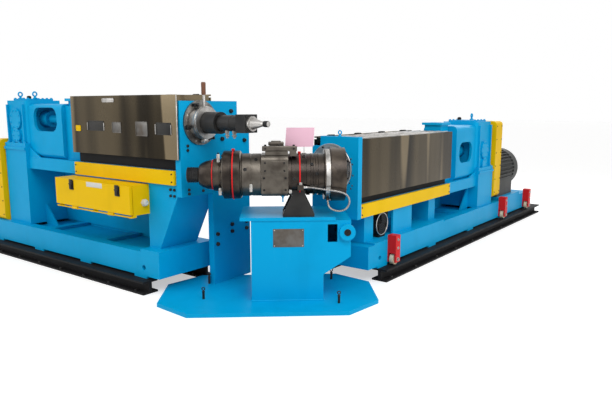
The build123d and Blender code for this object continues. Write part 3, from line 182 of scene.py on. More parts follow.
class Finish(Graph):
    """One node material on Object coordinates."""

    def __init__(self, name):
        self.material = bpy.data.materials.new(name)
        self.material.use_nodes = True
        super().__init__(self.material.node_tree)
        self.shader = self.tree.nodes["Principled BSDF"]
        self.place = self.node("ShaderNodeTexCoord", out="Object")

    def noise(self, scale, detail=3.0, stretch=EVEN, bend=0.0):
        """Noise on Object coordinates, drawn out along the axes with the small factors."""
        where = self.node("ShaderNodeMapping", Vector=self.place, Scale=stretch)
        return self.node("ShaderNodeTexNoise", Vector=where, Scale=scale, Detail=detail,
                         Distortion=bend)

    def step(self, value, low, high):
        """A smooth mask that rises from low to high."""
        return self.node("ShaderNodeMapRange", {"interpolation_type": "SMOOTHSTEP"}, Value=value,
                         From_Min=low, From_Max=high)

    def mix(self, mask, first, second):
        """Mix two colours by a mask."""
        mixed = self.node("ShaderNodeMix", {"data_type": "RGBA"}, out=2)
        slots = mixed.socket.node.inputs
        self.feed(slots[0], mask)
        for slot, colour in ((slots[6], first), (slots[7], second)):
            self.feed(slot, colour if isinstance(colour, Wire) else (*colour, 1.0))
        return mixed

    def edges(self, width):
        """A mask of edges, from how far a bevelled normal leaves the true one: worn edges, and on steel
        and the motor paint partly painted edge highlights.
        """
        bevelled = self.node("ShaderNodeBevel", {"samples": 4}, Radius=width)
        true = self.node("ShaderNodeNewGeometry", out="Normal")
        turn = self.node("ShaderNodeVectorMath", {"operation": "DOT_PRODUCT"}, out="Value")
        self.feed(turn.socket.node.inputs[0], bevelled)
        self.feed(turn.socket.node.inputs[1], true)
        return self.step(1.0 - turn, 0.02, 0.2)

    def bump(self, height, strength, distance):
        """Bump from a height value into the shader's normal."""
        bumped = self.node("ShaderNodeBump", Strength=strength, Distance=distance, Height=height)
        self.feed(self.shader.inputs["Normal"], bumped)

    def set(self, **inputs):
        """Feed the shader's own sockets."""
        for key, value in inputs.items():
            self.feed(self.shader.inputs[key.replace("_", " ")], value)
        return self.material


def paint(name, colour, worn, rough, chip=0.5):
    """Gloss machine paint: orange peel, faint dirt, runs, and lighter worn edges, which on the dark
    motor paint are partly painted highlight.
    """
    finish = Finish(name)
    dirt = finish.step(finish.noise(2.2, 6.0), 0.42, 0.74)
    runs = finish.step(finish.noise(9.0, 4.0, (1.0, 1.0, 0.12)), 0.52, 0.8)
    scuff = finish.step(finish.noise(38.0, 4.0, (1.0, 1.0, 0.3)), 0.63, 0.73)
    edge = finish.edges(0.004) * finish.step(finish.noise(30.0, 2.0), 0.4, 0.62)
    # Lighter edges: wear; on the dark motor paint also a painted highlight on its ribs
    wear = edge * chip + scuff * 0.08
    deep = tuple(0.8 * part for part in colour)
    shade = finish.mix(dirt * 0.45 + runs * 0.25, colour, deep)
    finish.bump(finish.noise(420.0, 1.0) + scuff * 0.4, 0.05, 0.001)
    return finish.set(Base_Color=finish.mix(wear, shade, worn), Specular_IOR_Level=0.08,
                      Roughness=rough + dirt * 0.1 + scuff * 0.08)


def steel(name, colour, stained, rough, grain, stretch, metal=1.0, spread=3.0):
    """Bare steel with a drawn grain, uneven staining, and lighter edges, part wear and part painted
    highlight.
    """
    finish = Finish(name)
    lines = finish.noise(grain, 4.0, stretch)
    stain = finish.step(finish.noise(spread, 5.0), 0.38, 0.7)
    edge = finish.edges(0.003) * finish.step(finish.noise(24.0, 2.0), 0.35, 0.6)
    # Edges mixed towards a lighter tone: part worn bare metal, part painted highlight
    glint = tuple(min(1.0, 1.8 * part + 0.05) for part in colour)
    finish.bump(lines, 0.1, 0.0008)
    shade = finish.mix(stain, colour, stained)
    return finish.set(Base_Color=finish.mix(edge * 0.6, shade, glint), Metallic=metal,
                      Roughness=rough + (lines - 0.5) * 0.22 + stain * 0.1, Specular_IOR_Level=0.2)


def hood_sheet(name, stretch):
    """Polished hood sheet: streaks across it, part uneven tone and part painted reflection, a pale
    painted reflection band, a fine grain the same way, and faint smears.
    """
    finish = Finish(name)
    broad = finish.noise(1.5, 2.0, stretch)
    narrow = finish.noise(6.0, 3.0, stretch)
    grain = finish.noise(300.0, 3.0, stretch)
    smear = finish.step(finish.noise(4.0, 6.0), 0.5, 0.78)
    # Dark and mid streaks in the base colour: part uneven tone of the sheet, part painted reflection
    tone_and_reflection_streak = finish.step(broad * 0.8 + narrow * 0.2, 0.38, 0.64)
    # A narrow pale band in the base colour: a painted reflection
    painted_reflection_band = finish.step(finish.noise(3.4, 0.0, stretch, 0.4), 0.6, 0.66)
    finish.bump(grain + broad * 3.0, 0.06, 0.001)
    tone = finish.mix(tone_and_reflection_streak, HOOD_DARK, HOOD)
    return finish.set(Base_Color=finish.mix(painted_reflection_band * 0.6, tone, HOOD_REFLECTION_PAINT), Metallic=1.0,
                      Roughness=0.24 + smear * 0.12 + (grain - 0.5) * 0.12)


def braid(name):
    """Braided metal sleeve: fine crossed strands, painted shade in the gaps between them, and patchy
    grime.
    """
    finish = Finish(name)
    strands = finish.node("ShaderNodeTexVoronoi", Vector=finish.place, Scale=420.0)
    grime = finish.step(finish.noise(30.0, 4.0), 0.45, 0.7)
    finish.bump(strands, 0.6, 0.001)
    # Darker and rougher in the gaps between the strands: painted shade
    shaded_gaps = finish.step(strands, 0.3, 0.75)
    shade = finish.mix(shaded_gaps * 0.8 + grime * 0.2, BRIGHT, IRON)
    return finish.set(Base_Color=shade, Metallic=0.85, Roughness=0.42 + shaded_gaps * 0.2)


FINISHES = {
    "blue_paint": paint("blue_machine_paint", BLUE, BLUE_WORN, 0.36),
    "yellow_paint": paint("yellow_guard_paint", YELLOW, YELLOW_WORN, 0.4),
    "red_paint": paint("red_fork_paint", RED, RED_WORN, 0.4),
    "grey_paint": paint("dark_motor_paint", GREY, GREY_WEAR_AND_HIGHLIGHT, 0.45),
    "black_paint": paint("black_rail_paint", BLACK, BLACK_DUSTY, 0.55),
    "hood_steel": hood_sheet("polished_main_hood_sheet", (0.06, 1.0, 0.06)),
    "aux_hood_steel": hood_sheet("polished_aux_hood_sheet", (1.0, 0.06, 0.06)),
    "dark_steel": steel("oiled_tool_steel", IRON, IRON_PALE, 0.3, 90.0, EVEN, 0.9, 7.0),
    "worn_steel": steel("worn_tool_steel", IRON_WORN, IRON_STAINED, 0.38, 60.0, EVEN, 0.9, 9.0),
    "bright_steel": steel("turned_bright_steel", BRIGHT, BRIGHT_DARK, 0.34, 200.0, (1.0, 1.0, 0.15),
                          1.0, 9.0),
    "dull_steel": steel("dull_disc_steel", DULL, DULL_DARK, 0.42, 120.0, EVEN, 1.0, 12.0),
    "black_steel": steel("blackened_steel", BLACK, BLACK_DUSTY, 0.42, 70.0, EVEN, 0.4),
    "pale_tread": paint("cast_wheel_tread", PALE, PALE_DIRTY, 0.55),
    "zinc": steel("zinc_bolt_plating", BRIGHT_DARK, BRIGHT, 0.34, 150.0, EVEN, 1.0, 20.0),
    "braid": braid("braided_sleeve"),
    "white_plastic": paint("white_connector_plastic", WHITE, WHITE_DIRTY, 0.45, 0.2),
    "card": paint("pink_card", PINK, PINK_FADED, 0.75, 0.3),
    "bare_plate": steel("bare_name_plate", PLATE, IRON_PALE, 0.4, 160.0, (1.0, 1.0, 0.2), 1.0, 9.0),
    "grip": paint("brown_lever_grip", BROWN, BROWN_WORN, 0.5),
}
# Slots of the finishes that are no slot of the CAD themselves
# CAD nodes that get a variant of their slot's finish
NODE_FINISHES = {
    "crosshead_block": "worn_steel", "crosshead_body": "worn_steel", "aux_barrel_disc": "dull_steel",
    "aux_hood": "aux_hood_steel", "aux_rear_panel": "aux_hood_steel"}


class Lane:
    """A machine's own directions, in metres: station along it, side towards the viewer, and height."""

    def __init__(self, origin, ahead, near, axis_z):
        self.origin = Vector(origin)
        self.axes = (Vector(ahead), Vector(near), Vector(UP))
        self.axis_z = axis_z

    def way(self, direction):
        """A lane direction as a direction in the scene."""
        return sum((axis * part for axis, part in zip(self.axes, direction)), Vector())

    def at(self, station, side, z):
        """A lane place as a place in the scene."""
        return self.origin + self.way((station, side, z))

    def on_axis(self, station):
        """The lane place at a station on the machine's axis."""
        return (station, 0.0, self.axis_z)

    def matrix(self):
        """From the lane's directions to the scene's."""
        return Matrix.Translation(self.origin) @ Matrix(self.axes).transposed().to_4x4()


HEAD_TURN = radians(40.0)
HEAD = Lane((0.0, 0.0, 0.0), (cos(HEAD_TURN), sin(HEAD_TURN), 0.0),
            (sin(HEAD_TURN), -cos(HEAD_TURN), 0.0), AXIS_Z)
MAIN = Lane((0.0, 0.565, 0.0), (0.0, 1.0, 0.0), (1.0, 0.0, 0.0), AXIS_Z)
AUX = Lane((-0.7, -0.26, 0.0), (-1.0, 0.0, 0.0), (0.0, -1.0, 0.0), AUX_AXIS_Z)


def spread(middle, half):
    """The two ends of a span about its middle."""
    return (middle - half, middle + half)


def grid(stations, side, heights):
    """Lane places at every station and height on one side."""
    return [(station, side, z) for station in stations for z in heights]


def own(piece, body):
    """Link a piece into the scene, on its body and with its slot."""
    SCENE.collection.objects.link(piece)
    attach(piece, body)
    return piece


class Shape:
    """A piece in the making: forms are added in a lane's directions, then it becomes one mesh."""

    def __init__(self, lane):
        self.lane = lane
        self.made = bmesh.new()

    def take(self, form, matrix):
        """Add one form, moved into place."""
        form.transform(matrix)
        mesh = bpy.data.meshes.new("form")
        form.to_mesh(mesh)
        form.free()
        self.made.from_mesh(mesh)
        bpy.data.meshes.remove(mesh)
        return self

    def block(self, stations, sides, heights, edge=0.003):
        """A box with rounded edges between two stations, two sides and two heights."""
        form = bmesh.new()
        bmesh.ops.create_cube(form, size=1.0)
        pairs = (stations, sides, heights)
        spans = [high - low for low, high in pairs]
        middle = [(high + low) / 2 for low, high in pairs]
        form.transform(Matrix.Translation(middle) @ Matrix.Diagonal((*spans, 1.0)))
        bmesh.ops.bevel(form, geom=form.edges[:], offset=edge, segments=2, profile=0.5, affect="EDGES")
        return self.take(form, self.lane.matrix())

    def turned(self, centre, axis, profile, sides, closed=False):
        """Distance and radius pairs turned about an axis: capped at the ends, or closed round a bore."""
        form = bmesh.new()
        rings = []
        if not closed:
            profile = ((profile[0][0], 0.0), *profile, (profile[-1][0], 0.0))
        for along, radius in profile:
            count = sides if radius else 1
            angles = [2 * pi * index / sides for index in range(count)]
            rings.append([form.verts.new((radius * cos(angle), radius * sin(angle), along))
                          for angle in angles])
        pairs = list(zip(rings, rings[1:]))
        if closed:
            pairs.append((rings[-1], rings[0]))
        for low, high in pairs:
            for index in range(sides):
                after = (index + 1) % sides
                ends = (low[index % len(low)], low[after % len(low)],
                        high[after % len(high)], high[index % len(high)])
                form.faces.new(list(dict.fromkeys(ends)))
        turn = self.lane.way(axis).to_track_quat("Z", "Y").to_matrix().to_4x4()
        return self.take(form, Matrix.Translation(self.lane.at(*centre)) @ turn)

    def sleeve(self, station, profile, sides=72):
        """A turned ring with a bore, on the lane's axis."""
        return self.turned(self.lane.on_axis(station), AHEAD, profile, sides, closed=True)

    def band(self, station, radius, width, thickness, sides=72):
        """A flat band round the lane's axis."""
        half, outer = width / 2, radius + thickness
        profile = ((-half, radius), (half, radius), (half, outer), (-half, outer))
        return self.sleeve(station, profile, sides)

    def bead(self, start, way, length, radius=0.0055, pitch=0.01):
        """A weld bead: a thin run with a ripple at each pitch."""
        ripple = []
        for index in range(int(length / pitch)):
            ripple += [(index * pitch, radius), (index * pitch + 0.7 * pitch, 1.25 * radius)]
        return self.turned(start, way, ripple + [(length, radius)], 10)

    def saddle(self, start, end, inner, outer, low, high, steps=40, cut=0.002):
        """Part of a round shell on the lane's axis, between two angles above the near side."""
        form = bmesh.new()
        lines = []
        for index in range(steps + 1):
            turn = radians(low + (high - low) * index / steps)
            corners = ((start, inner), (start, outer - cut), (start + cut, outer), (end - cut, outer),
                       (end, outer - cut), (end, inner))
            lines.append([form.verts.new((station, radius * cos(turn),
                                          self.lane.axis_z + radius * sin(turn)))
                          for station, radius in corners])
        for first, second in zip(lines, lines[1:]):
            for index in range(len(first)):
                form.faces.new((first[index - 1], first[index], second[index], second[index - 1]))
        form.faces.new(lines[0])
        form.faces.new(lines[-1])
        return self.take(form, self.lane.matrix())

    def loop(self, centre, axis, radius, wire, sides):
        """A round wire ring about an axis."""
        turns = [2 * pi * index / 8 for index in range(8)]
        profile = [(wire * sin(turn), radius + wire * cos(turn)) for turn in turns]
        return self.turned(centre, axis, profile, sides, closed=True)

    def rod(self, first, last, radius, sides=12):
        """A straight rod with chamfered ends between two places in the lane."""
        run = Vector(last) - Vector(first)
        long, cut = run.length, 0.25 * radius
        profile = ((0.0, radius - cut), (cut, radius), (long - cut, radius), (long, radius - cut))
        return self.turned(first, tuple(run.normalized()), profile, sides)

    def eye(self, foot, size, axis=UP, across=NEAR):
        """An eyebolt: collar, neck and ring, standing on a foot."""
        outline = ((0.0, 0.016), (0.006, 0.016), (0.01, 0.008), (0.02, 0.007))
        self.turned(foot, axis, [(along * size, radius * size) for along, radius in outline], 20)
        top = Vector(foot) + Vector(axis) * 0.033 * size
        return self.loop(tuple(top), across, 0.015 * size, 0.0055 * size, 24)

    def sheet(self, place, columns, rows, thickness):
        """A thin closed sheet whose lane places come from place(a, b), with a and b from 0 to 1."""
        form = bmesh.new()
        layers = []
        for shift in (0.0, thickness):
            layer = []
            for row in range(rows + 1):
                spots = [Vector(place(column / columns, row / rows)) for column in range(columns + 1)]
                layer.append([form.verts.new(spot + Vector(NEAR) * shift) for spot in spots])
            layers.append(layer)
            for low, high in zip(layer, layer[1:]):
                for ends in zip(low, low[1:], high[1:], high):
                    form.faces.new(ends)
        back, front = ([*layer[0], *[line[-1] for line in layer[1:]], *layer[-1][-2::-1],
                        *[line[0] for line in layer[-2:0:-1]]] for layer in layers)
        for index in range(len(back)):
            form.faces.new((back[index - 1], back[index], front[index], front[index - 1]))
        return self.take(form, self.lane.matrix())

    def done(self, name, finish, body="frame"):
        """Close the mesh and hand the piece over to its body."""
        bmesh.ops.remove_doubles(self.made, verts=self.made.verts, dist=1e-6)
        bmesh.ops.recalc_face_normals(self.made, faces=self.made.faces)
        mesh = bpy.data.meshes.new(name)
        self.made.to_mesh(mesh)
        self.made.free()
        mesh.shade_smooth()
        mesh.set_sharp_from_angle(angle=radians(35.0))
        mesh.materials.append(FINISHES[finish])
        return own(bpy.data.objects.new(name, mesh), body)


class BoltTree(Graph):
    """Geometry Nodes that stand a bolt head with its washer on every point of a mesh."""

    def __init__(self, name, corners):
        super().__init__(bpy.data.node_groups.new(name, "GeometryNodeTree"))
        self.inputs = {}
        self.socket("Geometry", "Geometry")
        for label in ("Head radius", "Head height", "Washer radius", "Washer height"):
            self.socket(label, "Float")
        self.socket("Finish", "Material")
        self.tree.interface.new_socket("Geometry", in_out="OUTPUT", socket_type="NodeSocketGeometry")
        given = self.tree.nodes.new("NodeGroupInput")
        size = {label: Wire(self.tree, given.outputs[label]) for label in self.inputs}
        high = size["Head height"]
        base = size["Washer height"]
        washer = self.cone(20, size["Washer radius"], 0.94, base)
        shank = self.lift(self.cone(corners, size["Head radius"], 1.0, high * 0.75), base)
        crown = self.lift(self.cone(corners, size["Head radius"], 0.8, high * 0.25), base + high * 0.75)
        bolt = self.node("GeometryNodeJoinGeometry")
        for form in (crown, shank, washer):
            self.feed(bolt.socket.node.inputs[0], form)
        facing = self.node("GeometryNodeInputNamedAttribute", {"data_type": "FLOAT_VECTOR"},
                           Name="facing")
        scale = self.node("GeometryNodeInputNamedAttribute", {"data_type": "FLOAT"}, Name="size")
        turn = self.node("FunctionNodeAlignRotationToVector", {"axis": "Z"}, Vector=facing)
        stood = self.node("GeometryNodeInstanceOnPoints", Points=size["Geometry"], Instance=bolt,
                          Rotation=turn, Scale=scale)
        solid = self.node("GeometryNodeRealizeInstances", Geometry=stood)
        dressed = self.node("GeometryNodeSetMaterial", Geometry=solid, Material=size["Finish"])
        self.feed(self.tree.nodes.new("NodeGroupOutput").inputs[0], dressed)

    def socket(self, label, kind):
        """A named input of the tree, kept with its identifier."""
        made = self.tree.interface.new_socket(label, in_out="INPUT", socket_type=f"NodeSocket{kind}")
        self.inputs[label] = made.identifier

    def cone(self, corners, radius, taper, depth):
        """A many-sided stub that narrows by a taper."""
        return self.node("GeometryNodeMeshCone", Vertices=corners, Radius_Bottom=radius,
                         Radius_Top=radius * taper, Depth=depth)

    def lift(self, form, height):
        """Raise a form along its own axis."""
        move = self.node("ShaderNodeCombineXYZ", Z=height)
        return self.node("GeometryNodeTransform", Geometry=form, Translation=move)


class Bolts:
    """Bolts of one kind on the fixed frame: gathered first, then made by one tree."""

    def __init__(self, name, tree, finish, head, height, washer):
        self.name, self.tree, self.finish = name, tree, finish
        self.sizes = {"Head radius": head, "Head height": height, "Washer radius": washer,
                      "Washer height": 0.16 * head}
        self.places = []

    def add(self, lane, spots, way, size=1.0):
        """Bolts at lane places, all facing one lane direction."""
        self.places += [(lane.at(*spot), lane.way(way), size) for spot in spots]

    def row(self, lane, first, last, count, way, size=1.0):
        """Evenly spaced bolts from one lane place to another."""
        shares = [index / (count - 1) for index in range(count)]
        self.add(lane, [tuple(Vector(first).lerp(Vector(last), share)) for share in shares], way, size)

    def ring(self, lane, centre, way, radius, count, size=1.0, phase=0.0):
        """Bolts on a circle about a lane direction."""
        axis = Vector(way)
        first = Vector(NEAR) if abs(axis.z) > 0.5 or abs(axis.x) > 0.5 else Vector(AHEAD)
        second = axis.cross(first)
        for index in range(count):
            turn = 2 * pi * (index + phase) / count
            spot = Vector(centre) + (first * cos(turn) + second * sin(turn)) * radius
            self.add(lane, [tuple(spot)], way, size)

    def done(self):
        """Run the tree over the gathered places and keep its plain mesh."""
        mesh = bpy.data.meshes.new(self.name)
        mesh.from_pydata([place for place, _, _ in self.places], [], [])
        mesh.attributes.new("facing", "FLOAT_VECTOR", "POINT")
        mesh.attributes.new("size", "FLOAT", "POINT")
        for index, (_, way, size) in enumerate(self.places):
            mesh.attributes["facing"].data[index].vector = way
            mesh.attributes["size"].data[index].value = size
        piece = own(bpy.data.objects.new(self.name, mesh), "frame")
        modifier = piece.modifiers.new("bolts", "NODES")
        modifier.node_group = self.tree.tree
        for label, value in self.sizes.items():
            modifier[self.tree.inputs[label]] = value
        modifier[self.tree.inputs["Finish"]] = FINISHES[self.finish]
        shown = piece.evaluated_get(bpy.context.evaluated_depsgraph_get())
        piece.data = bpy.data.meshes.new_from_object(shown)
        piece.modifiers.remove(modifier)


def dress_nodes():
    """Give every CAD node the finish of its own material slot, or a variant of it."""
    slots = {entry["node"]: entry["material_slot"] for entry in frame["record"]["subparts"]}
    for name, piece in NODES.items():
        piece.data.materials.clear()
        piece.data.materials.append(FINISHES[NODE_FINISHES.get(name, slots[name])])


def make_camera():
    """The photograph's view."""
    data = bpy.data.cameras.new("photo_camera")
    data.sensor_width = SENSOR
    data.lens = SENSOR * FOCAL_PIXELS / PHOTO_WIDTH
    camera = bpy.data.objects.new("photo_camera", data)
    turn, drop = radians(CAMERA_AZIMUTH), radians(CAMERA_DROP)
    ahead = Vector((-sin(turn) * cos(drop), cos(turn) * cos(drop), -sin(drop)))
    camera.location = CAMERA_PLACE
    camera.rotation_mode = "QUATERNION"
    camera.rotation_quaternion = ahead.to_track_quat("-Z", "Y")
    SCENE.collection.objects.link(camera)
    SCENE.camera = camera


def make_conduit():
    """Braided conduit from the connector on the barrel round to the gland under the flange."""
    curve = bpy.data.curves.new("braided_conduit", "CURVE")
    curve.dimensions = "3D"
    curve.bevel_depth = CONDUIT_RADIUS
    curve.bevel_resolution = 4
    curve.use_fill_caps = True
    spline = curve.splines.new("NURBS")
    spline.points.add(len(CONDUIT_ROUTE) - 1)
    for point, place in zip(spline.points, CONDUIT_ROUTE):
        point.co = (*HEAD.at(*place), 1.0)
    spline.order_u = 3
    spline.use_endpoint_u = True
    spline.resolution_u = 8
    curve.materials.append(FINISHES["braid"])
    piece = own(bpy.data.objects.new("braided_conduit", curve), "frame")
    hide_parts("crosshead_conduit")
    tuple(HEAD.at(*CONDUIT_ROUTE[0]))


# Nose nut: where it starts, and its ribs
NOSE_START = -0.7795
RIB_COUNT = 6
RIB_PITCH = 0.0135
RIB_RADIUS = 0.0595
GROOVE_RADIUS = 0.0545


def make_nose():
    """Ribbed nose nut with its bore, and the bright die tip that looks out of it."""
    ribs = [(0.0, 0.028), (0.0, 0.05), (0.004, 0.055)]
    for index in range(RIB_COUNT):
        start = 0.006 + RIB_PITCH * index
        ribs += [(start, RIB_RADIUS), (start + 0.007, RIB_RADIUS),
                 (start + 0.009, GROOVE_RADIUS), (start + 0.0125, GROOVE_RADIUS)]
    ribs += [(0.0895, 0.058), (0.0895, 0.028)]
    nut = Shape(HEAD).sleeve(NOSE_START, ribs, 48).done("ribbed_nose_nut", "black_steel")
    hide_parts("crosshead_nose_nut")
    tip = ((-0.006, 0.01), (0.0, 0.016), (0.03, 0.0265), (0.04, 0.0265))
    Shape(HEAD).turned(HEAD.on_axis(NOSE_START), AHEAD, tip, 32).done("die_tip", "bright_steel")


# Straps of the crosshead: station, radius and width; and their buckles: station and foot
STRAPS = ((-0.425, 0.184, 0.01), (0.078, 0.162, 0.01), (-0.582, 0.111, 0.007))
BUCKLES = ((-0.425, 1.186), (0.078, 1.164))


def make_straps():
    """Red straps round the crosshead, two of them with a buckle, and the bright band on its flange."""
    straps = Shape(HEAD)
    for station, radius, width in STRAPS:
        straps.band(station, radius, width, 0.0035)
    for station, foot in BUCKLES:
        straps.block(spread(station, 0.012), (-0.014, 0.03), (foot, foot + 0.012), 0.002)
        straps.rod((station, -0.02, foot + 0.01), (station, 0.04, foot + 0.01), 0.004)
    straps.done("red_straps", "red_paint")
    Shape(HEAD).band(0.29, 0.1931, 0.032, 0.002).done("bright_flange_band", "zinc")


# Profiles of jackets and rings: distance and radius
BODY_JACKET = (
    (0.0, 0.1552), (0.0, 0.159), (0.004, 0.162), (0.066, 0.162), (0.068, 0.16), (0.078, 0.16),
    (0.08, 0.162), (0.142, 0.162), (0.146, 0.159), (0.146, 0.1552))
FLANGE_RING = (
    (0.0, 0.1682), (0.0, 0.18), (0.004, 0.184), (0.058, 0.184), (0.062, 0.18), (0.066, 0.18),
    (0.07, 0.184), (0.126, 0.184), (0.136, 0.174), (0.136, 0.1682))
COLLAR_RING = (
    (0.0, 0.1112), (0.0, 0.116), (0.006, 0.124), (0.05, 0.124), (0.052, 0.12), (0.058, 0.12),
    (0.06, 0.131), (0.07, 0.131), (0.07, 0.1112))
NOSE_JACKET = (
    (0.0, 0.0615), (0.0, 0.068), (0.006, 0.078), (0.018, 0.088), (0.036, 0.097), (0.06, 0.1055),
    (0.084, 0.1115), (0.096, 0.1125), (0.1, 0.11))
DISC_RIM = ((0.0, 0.1852), (0.0, 0.207), (0.003, 0.21), (0.0125, 0.21), (0.0125, 0.1852))
NECK_JACKET = (
    (0.0, 0.0424), (0.0, 0.058), (0.004, 0.062), (0.066, 0.062), (0.068, 0.059), (0.078, 0.059),
    (0.08, 0.062), (0.205, 0.062), (0.209, 0.058), (0.209, 0.0424))
TIP_SLEEVE = (
    (0.0, 0.0203), (0.0, 0.0215), (0.003, 0.023), (0.036, 0.023), (0.04, 0.0215), (0.04, 0.0203))


def make_jackets():
    """Heater jackets and rings that fill the crosshead out, and the bright rim of the main disc."""
    Shape(HEAD).sleeve(-0.358, BODY_JACKET).done("body_jacket", "worn_steel")
    Shape(HEAD).sleeve(-0.499, FLANGE_RING).done("flange_ring", "dark_steel")
    Shape(HEAD).sleeve(-0.577, COLLAR_RING).done("collar_ring", "dark_steel")
    Shape(HEAD).sleeve(-0.688, NOSE_JACKET, 64).done("nose_jacket", "dark_steel")
    shells = Shape(HEAD)
    for start, end in ((0.017, 0.127), (0.159, 0.177), (0.197, 0.215)):
        shells.saddle(start, end, 0.1506, 0.162, -20.0, 200.0)
    shells.done("barrel_shells", "dark_steel")
    Shape(MAIN).sleeve(-0.013, DISC_RIM).done("main_disc_rim", "bright_steel")


def make_card():
    """Blank pink card held over the barrel by two bent wires."""
    def spot(a, b):
        lean = 0.012 * sin(pi * a) + 0.01 * b
        return (-0.03 + 0.215 * a + 0.01 * b, lean, 1.212 + 0.146 * b)
    Shape(HEAD).sheet(spot, 14, 8, 0.0008).done("blank_card", "card")
    wires = Shape(HEAD)
    for station in (0.04, 0.115):
        wires.rod((station, 0.004, 1.161), (station, 0.007, 1.3), 0.0022, 8)
        wires.rod((station - 0.018, 0.004, 1.1645), (station + 0.018, 0.004, 1.1645), 0.0035, 8)
    wires.done("card_wires", "zinc")


# Connectors of the heater bands: station, inner and outer side, bottom and top
CONNECTORS = (
    (-0.52, 0.088, 0.122, 0.858, 0.912), (-0.288, 0.122, 0.156, 0.886, 0.944),
    (0.006, 0.098, 0.152, 0.872, 0.898), (0.083, 0.13, 0.174, 0.938, 0.956),
    (-0.53, 0.085, 0.116, 1.105, 1.165))


def make_connectors():
    """White connector bodies with metal clips and a stub of sleeve."""
    bodies, clips, sleeves = Shape(HEAD), Shape(HEAD), Shape(HEAD)
    for station, inner, outer, bottom, top in CONNECTORS:
        side, middle = (inner + outer) / 2, (bottom + top) / 2
        bodies.block(spread(station, 0.01), (inner, outer), (bottom, top))
        clips.block(spread(station, 0.012), (inner, outer + 0.003), spread(middle, 0.006), 0.001)
        clips.block(spread(station, 0.004), (inner, outer + 0.006),
                    (bottom + 0.004, top - 0.004), 0.001)
        sleeves.rod((station, side, top - 0.004), (station, side, top + 0.012), 0.006)
    bodies.done("connector_bodies", "white_plastic")
    clips.done("connector_clips", "zinc")
    sleeves.done("connector_sleeves", "black_paint")


# Plugs of the crosshead (station, degrees above the near side), their seat and their profile
PLUGS = ((0.168, 34.0), (0.036, -6.0), (0.11, 62.0), (0.206, 8.0), (-0.25, 50.0), (-0.33, 20.0))
PLUG_SEAT = 0.16
PLUG = ((0.0, 0.013), (0.006, 0.013), (0.008, 0.011), (0.008, 0.006), (0.003, 0.005))
FERRULE = ((0.0, 0.0072), (0.0, 0.012), (0.012, 0.012), (0.014, 0.01), (0.026, 0.009), (0.026, 0.0072))


def make_block_trim():
    """Cover and clamp of the crosshead's block, plugs in its barrel, and the conduit's ferrule."""
    cover = Shape(HEAD).block((-0.196, -0.024), (0.158, 0.166), (1.03, 1.118), 0.004)
    cover.done("block_cover", "worn_steel")
    clamp = Shape(HEAD)
    clamp.block((-0.204, 0.058), (0.0605, 0.118), (1.1865, 1.224), 0.005)
    clamp.block((0.002, 0.054), (0.066, 0.114), (1.15, 1.19), 0.004)
    clamp.block((-0.158, -0.04), (-0.05, 0.05), (1.2262, 1.25), 0.005)
    clamp.block((-0.136, -0.062), (-0.032, 0.032), (1.249, 1.258), 0.002)
    clamp.done("block_clamp", "worn_steel")
    plugs = Shape(HEAD)
    for station, rise in PLUGS:
        turn = radians(rise)
        out = (0.0, cos(turn), sin(turn))
        plugs.turned((station, PLUG_SEAT * out[1], AXIS_Z + PLUG_SEAT * out[2]), out, PLUG, 24)
    plugs.done("barrel_plugs", "black_steel")
    ferrule = Shape(HEAD).turned(CONDUIT_ROUTE[0], AHEAD, FERRULE, 18, closed=True)
    ferrule.done("conduit_ferrule", "zinc")


# Pin of the pedestal's ear, weld beads at its foot (start, way, length) and floor posts (station, side)
EAR_PIN = ((0.0, 0.0265), (0.036, 0.0265), (0.04, 0.0225), (0.04, 0.01), (0.036, 0.008))
WELDS = (
    ((-0.3, 0.1255, 0.0325), AHEAD, 0.565), ((-0.2965, 0.122, 0.0325), FAR, 0.428),
    ((0.2615, 0.122, 0.0325), FAR, 0.428))
POSTS = ((-0.674, 0.055), (0.373, 0.204), (-0.674, -0.36), (0.373, -0.44))


def make_pedestal_trim():
    """Pedestal's pin and bare plate, the eye under the block, weld beads and floor posts."""
    Shape(HEAD).turned((0.44, 0.124, 0.57), NEAR, EAR_PIN, 32).done("ear_pin", "black_steel")
    plate = Shape(HEAD).block((-0.127, 0.109), (0.1235, 0.127), (0.455, 0.596), 0.001)
    plate.done("pedestal_plate", "bare_plate")
    Shape(HEAD).eye((-0.05, 0.1, 0.851), 1.0, DOWN, AHEAD).done("block_eye", "blue_paint")
    welds = Shape(HEAD)
    for start, way, length in WELDS:
        welds.bead(start, way, length)
    welds.done("foot_welds", "blue_paint")
    posts = Shape(HEAD)
    for station, side in POSTS:
        posts.rod((station, side, 0.0295), (station, side, 0.096), 0.01, 16)
        posts.eye((station, side, 0.088), 0.75, UP, NEAR)
    posts.done("floor_posts", "black_steel")


# Tops of the gearboxes' caps
MAIN_CAP_Z = 1.3525
AUX_CAP_Z = 1.5925


def make_breather(lane, name, place, radius, height):
    """A black cap with a sloping crown."""
    profile = ((0.0, radius), (radius, radius), (height, 0.012))
    Shape(lane).turned(place, UP, profile, 24).done(name, "black_paint")


def make_lifting_eyes():
    """Lifting eyes of the two machines, painted over with the rest, and the gearboxes' breathers."""
    main = Shape(MAIN)
    main.eye((0.03, 0.068, 1.269), 1.0, UP, AHEAD)
    main.eye((3.03, 0.0, MAIN_CAP_Z), 1.5, UP, NEAR)
    main.done("main_lifting_eyes", "blue_paint")
    aux = Shape(AUX)
    for station in (2.345, 2.63):
        aux.eye((station, 0.06, AUX_CAP_Z), 1.4, UP, AHEAD)
    aux.done("aux_lifting_eyes", "blue_paint")
    make_breather(AUX, "aux_breather", (2.46, 0.06, AUX_CAP_Z), 0.022, 0.03)
    make_breather(MAIN, "main_breather", (2.89, -0.1, MAIN_CAP_Z), 0.024, 0.034)


# Fan ends of the motors: lane, name, station, height and radius
MOTOR_ENDS = ((MAIN, "main", 4.085, 0.69, 0.235), (AUX, "aux", 3.551, 0.655, 0.2))
GRILLE_HUB = ((0.0, 0.042), (0.008, 0.04), (0.01, 0.034))


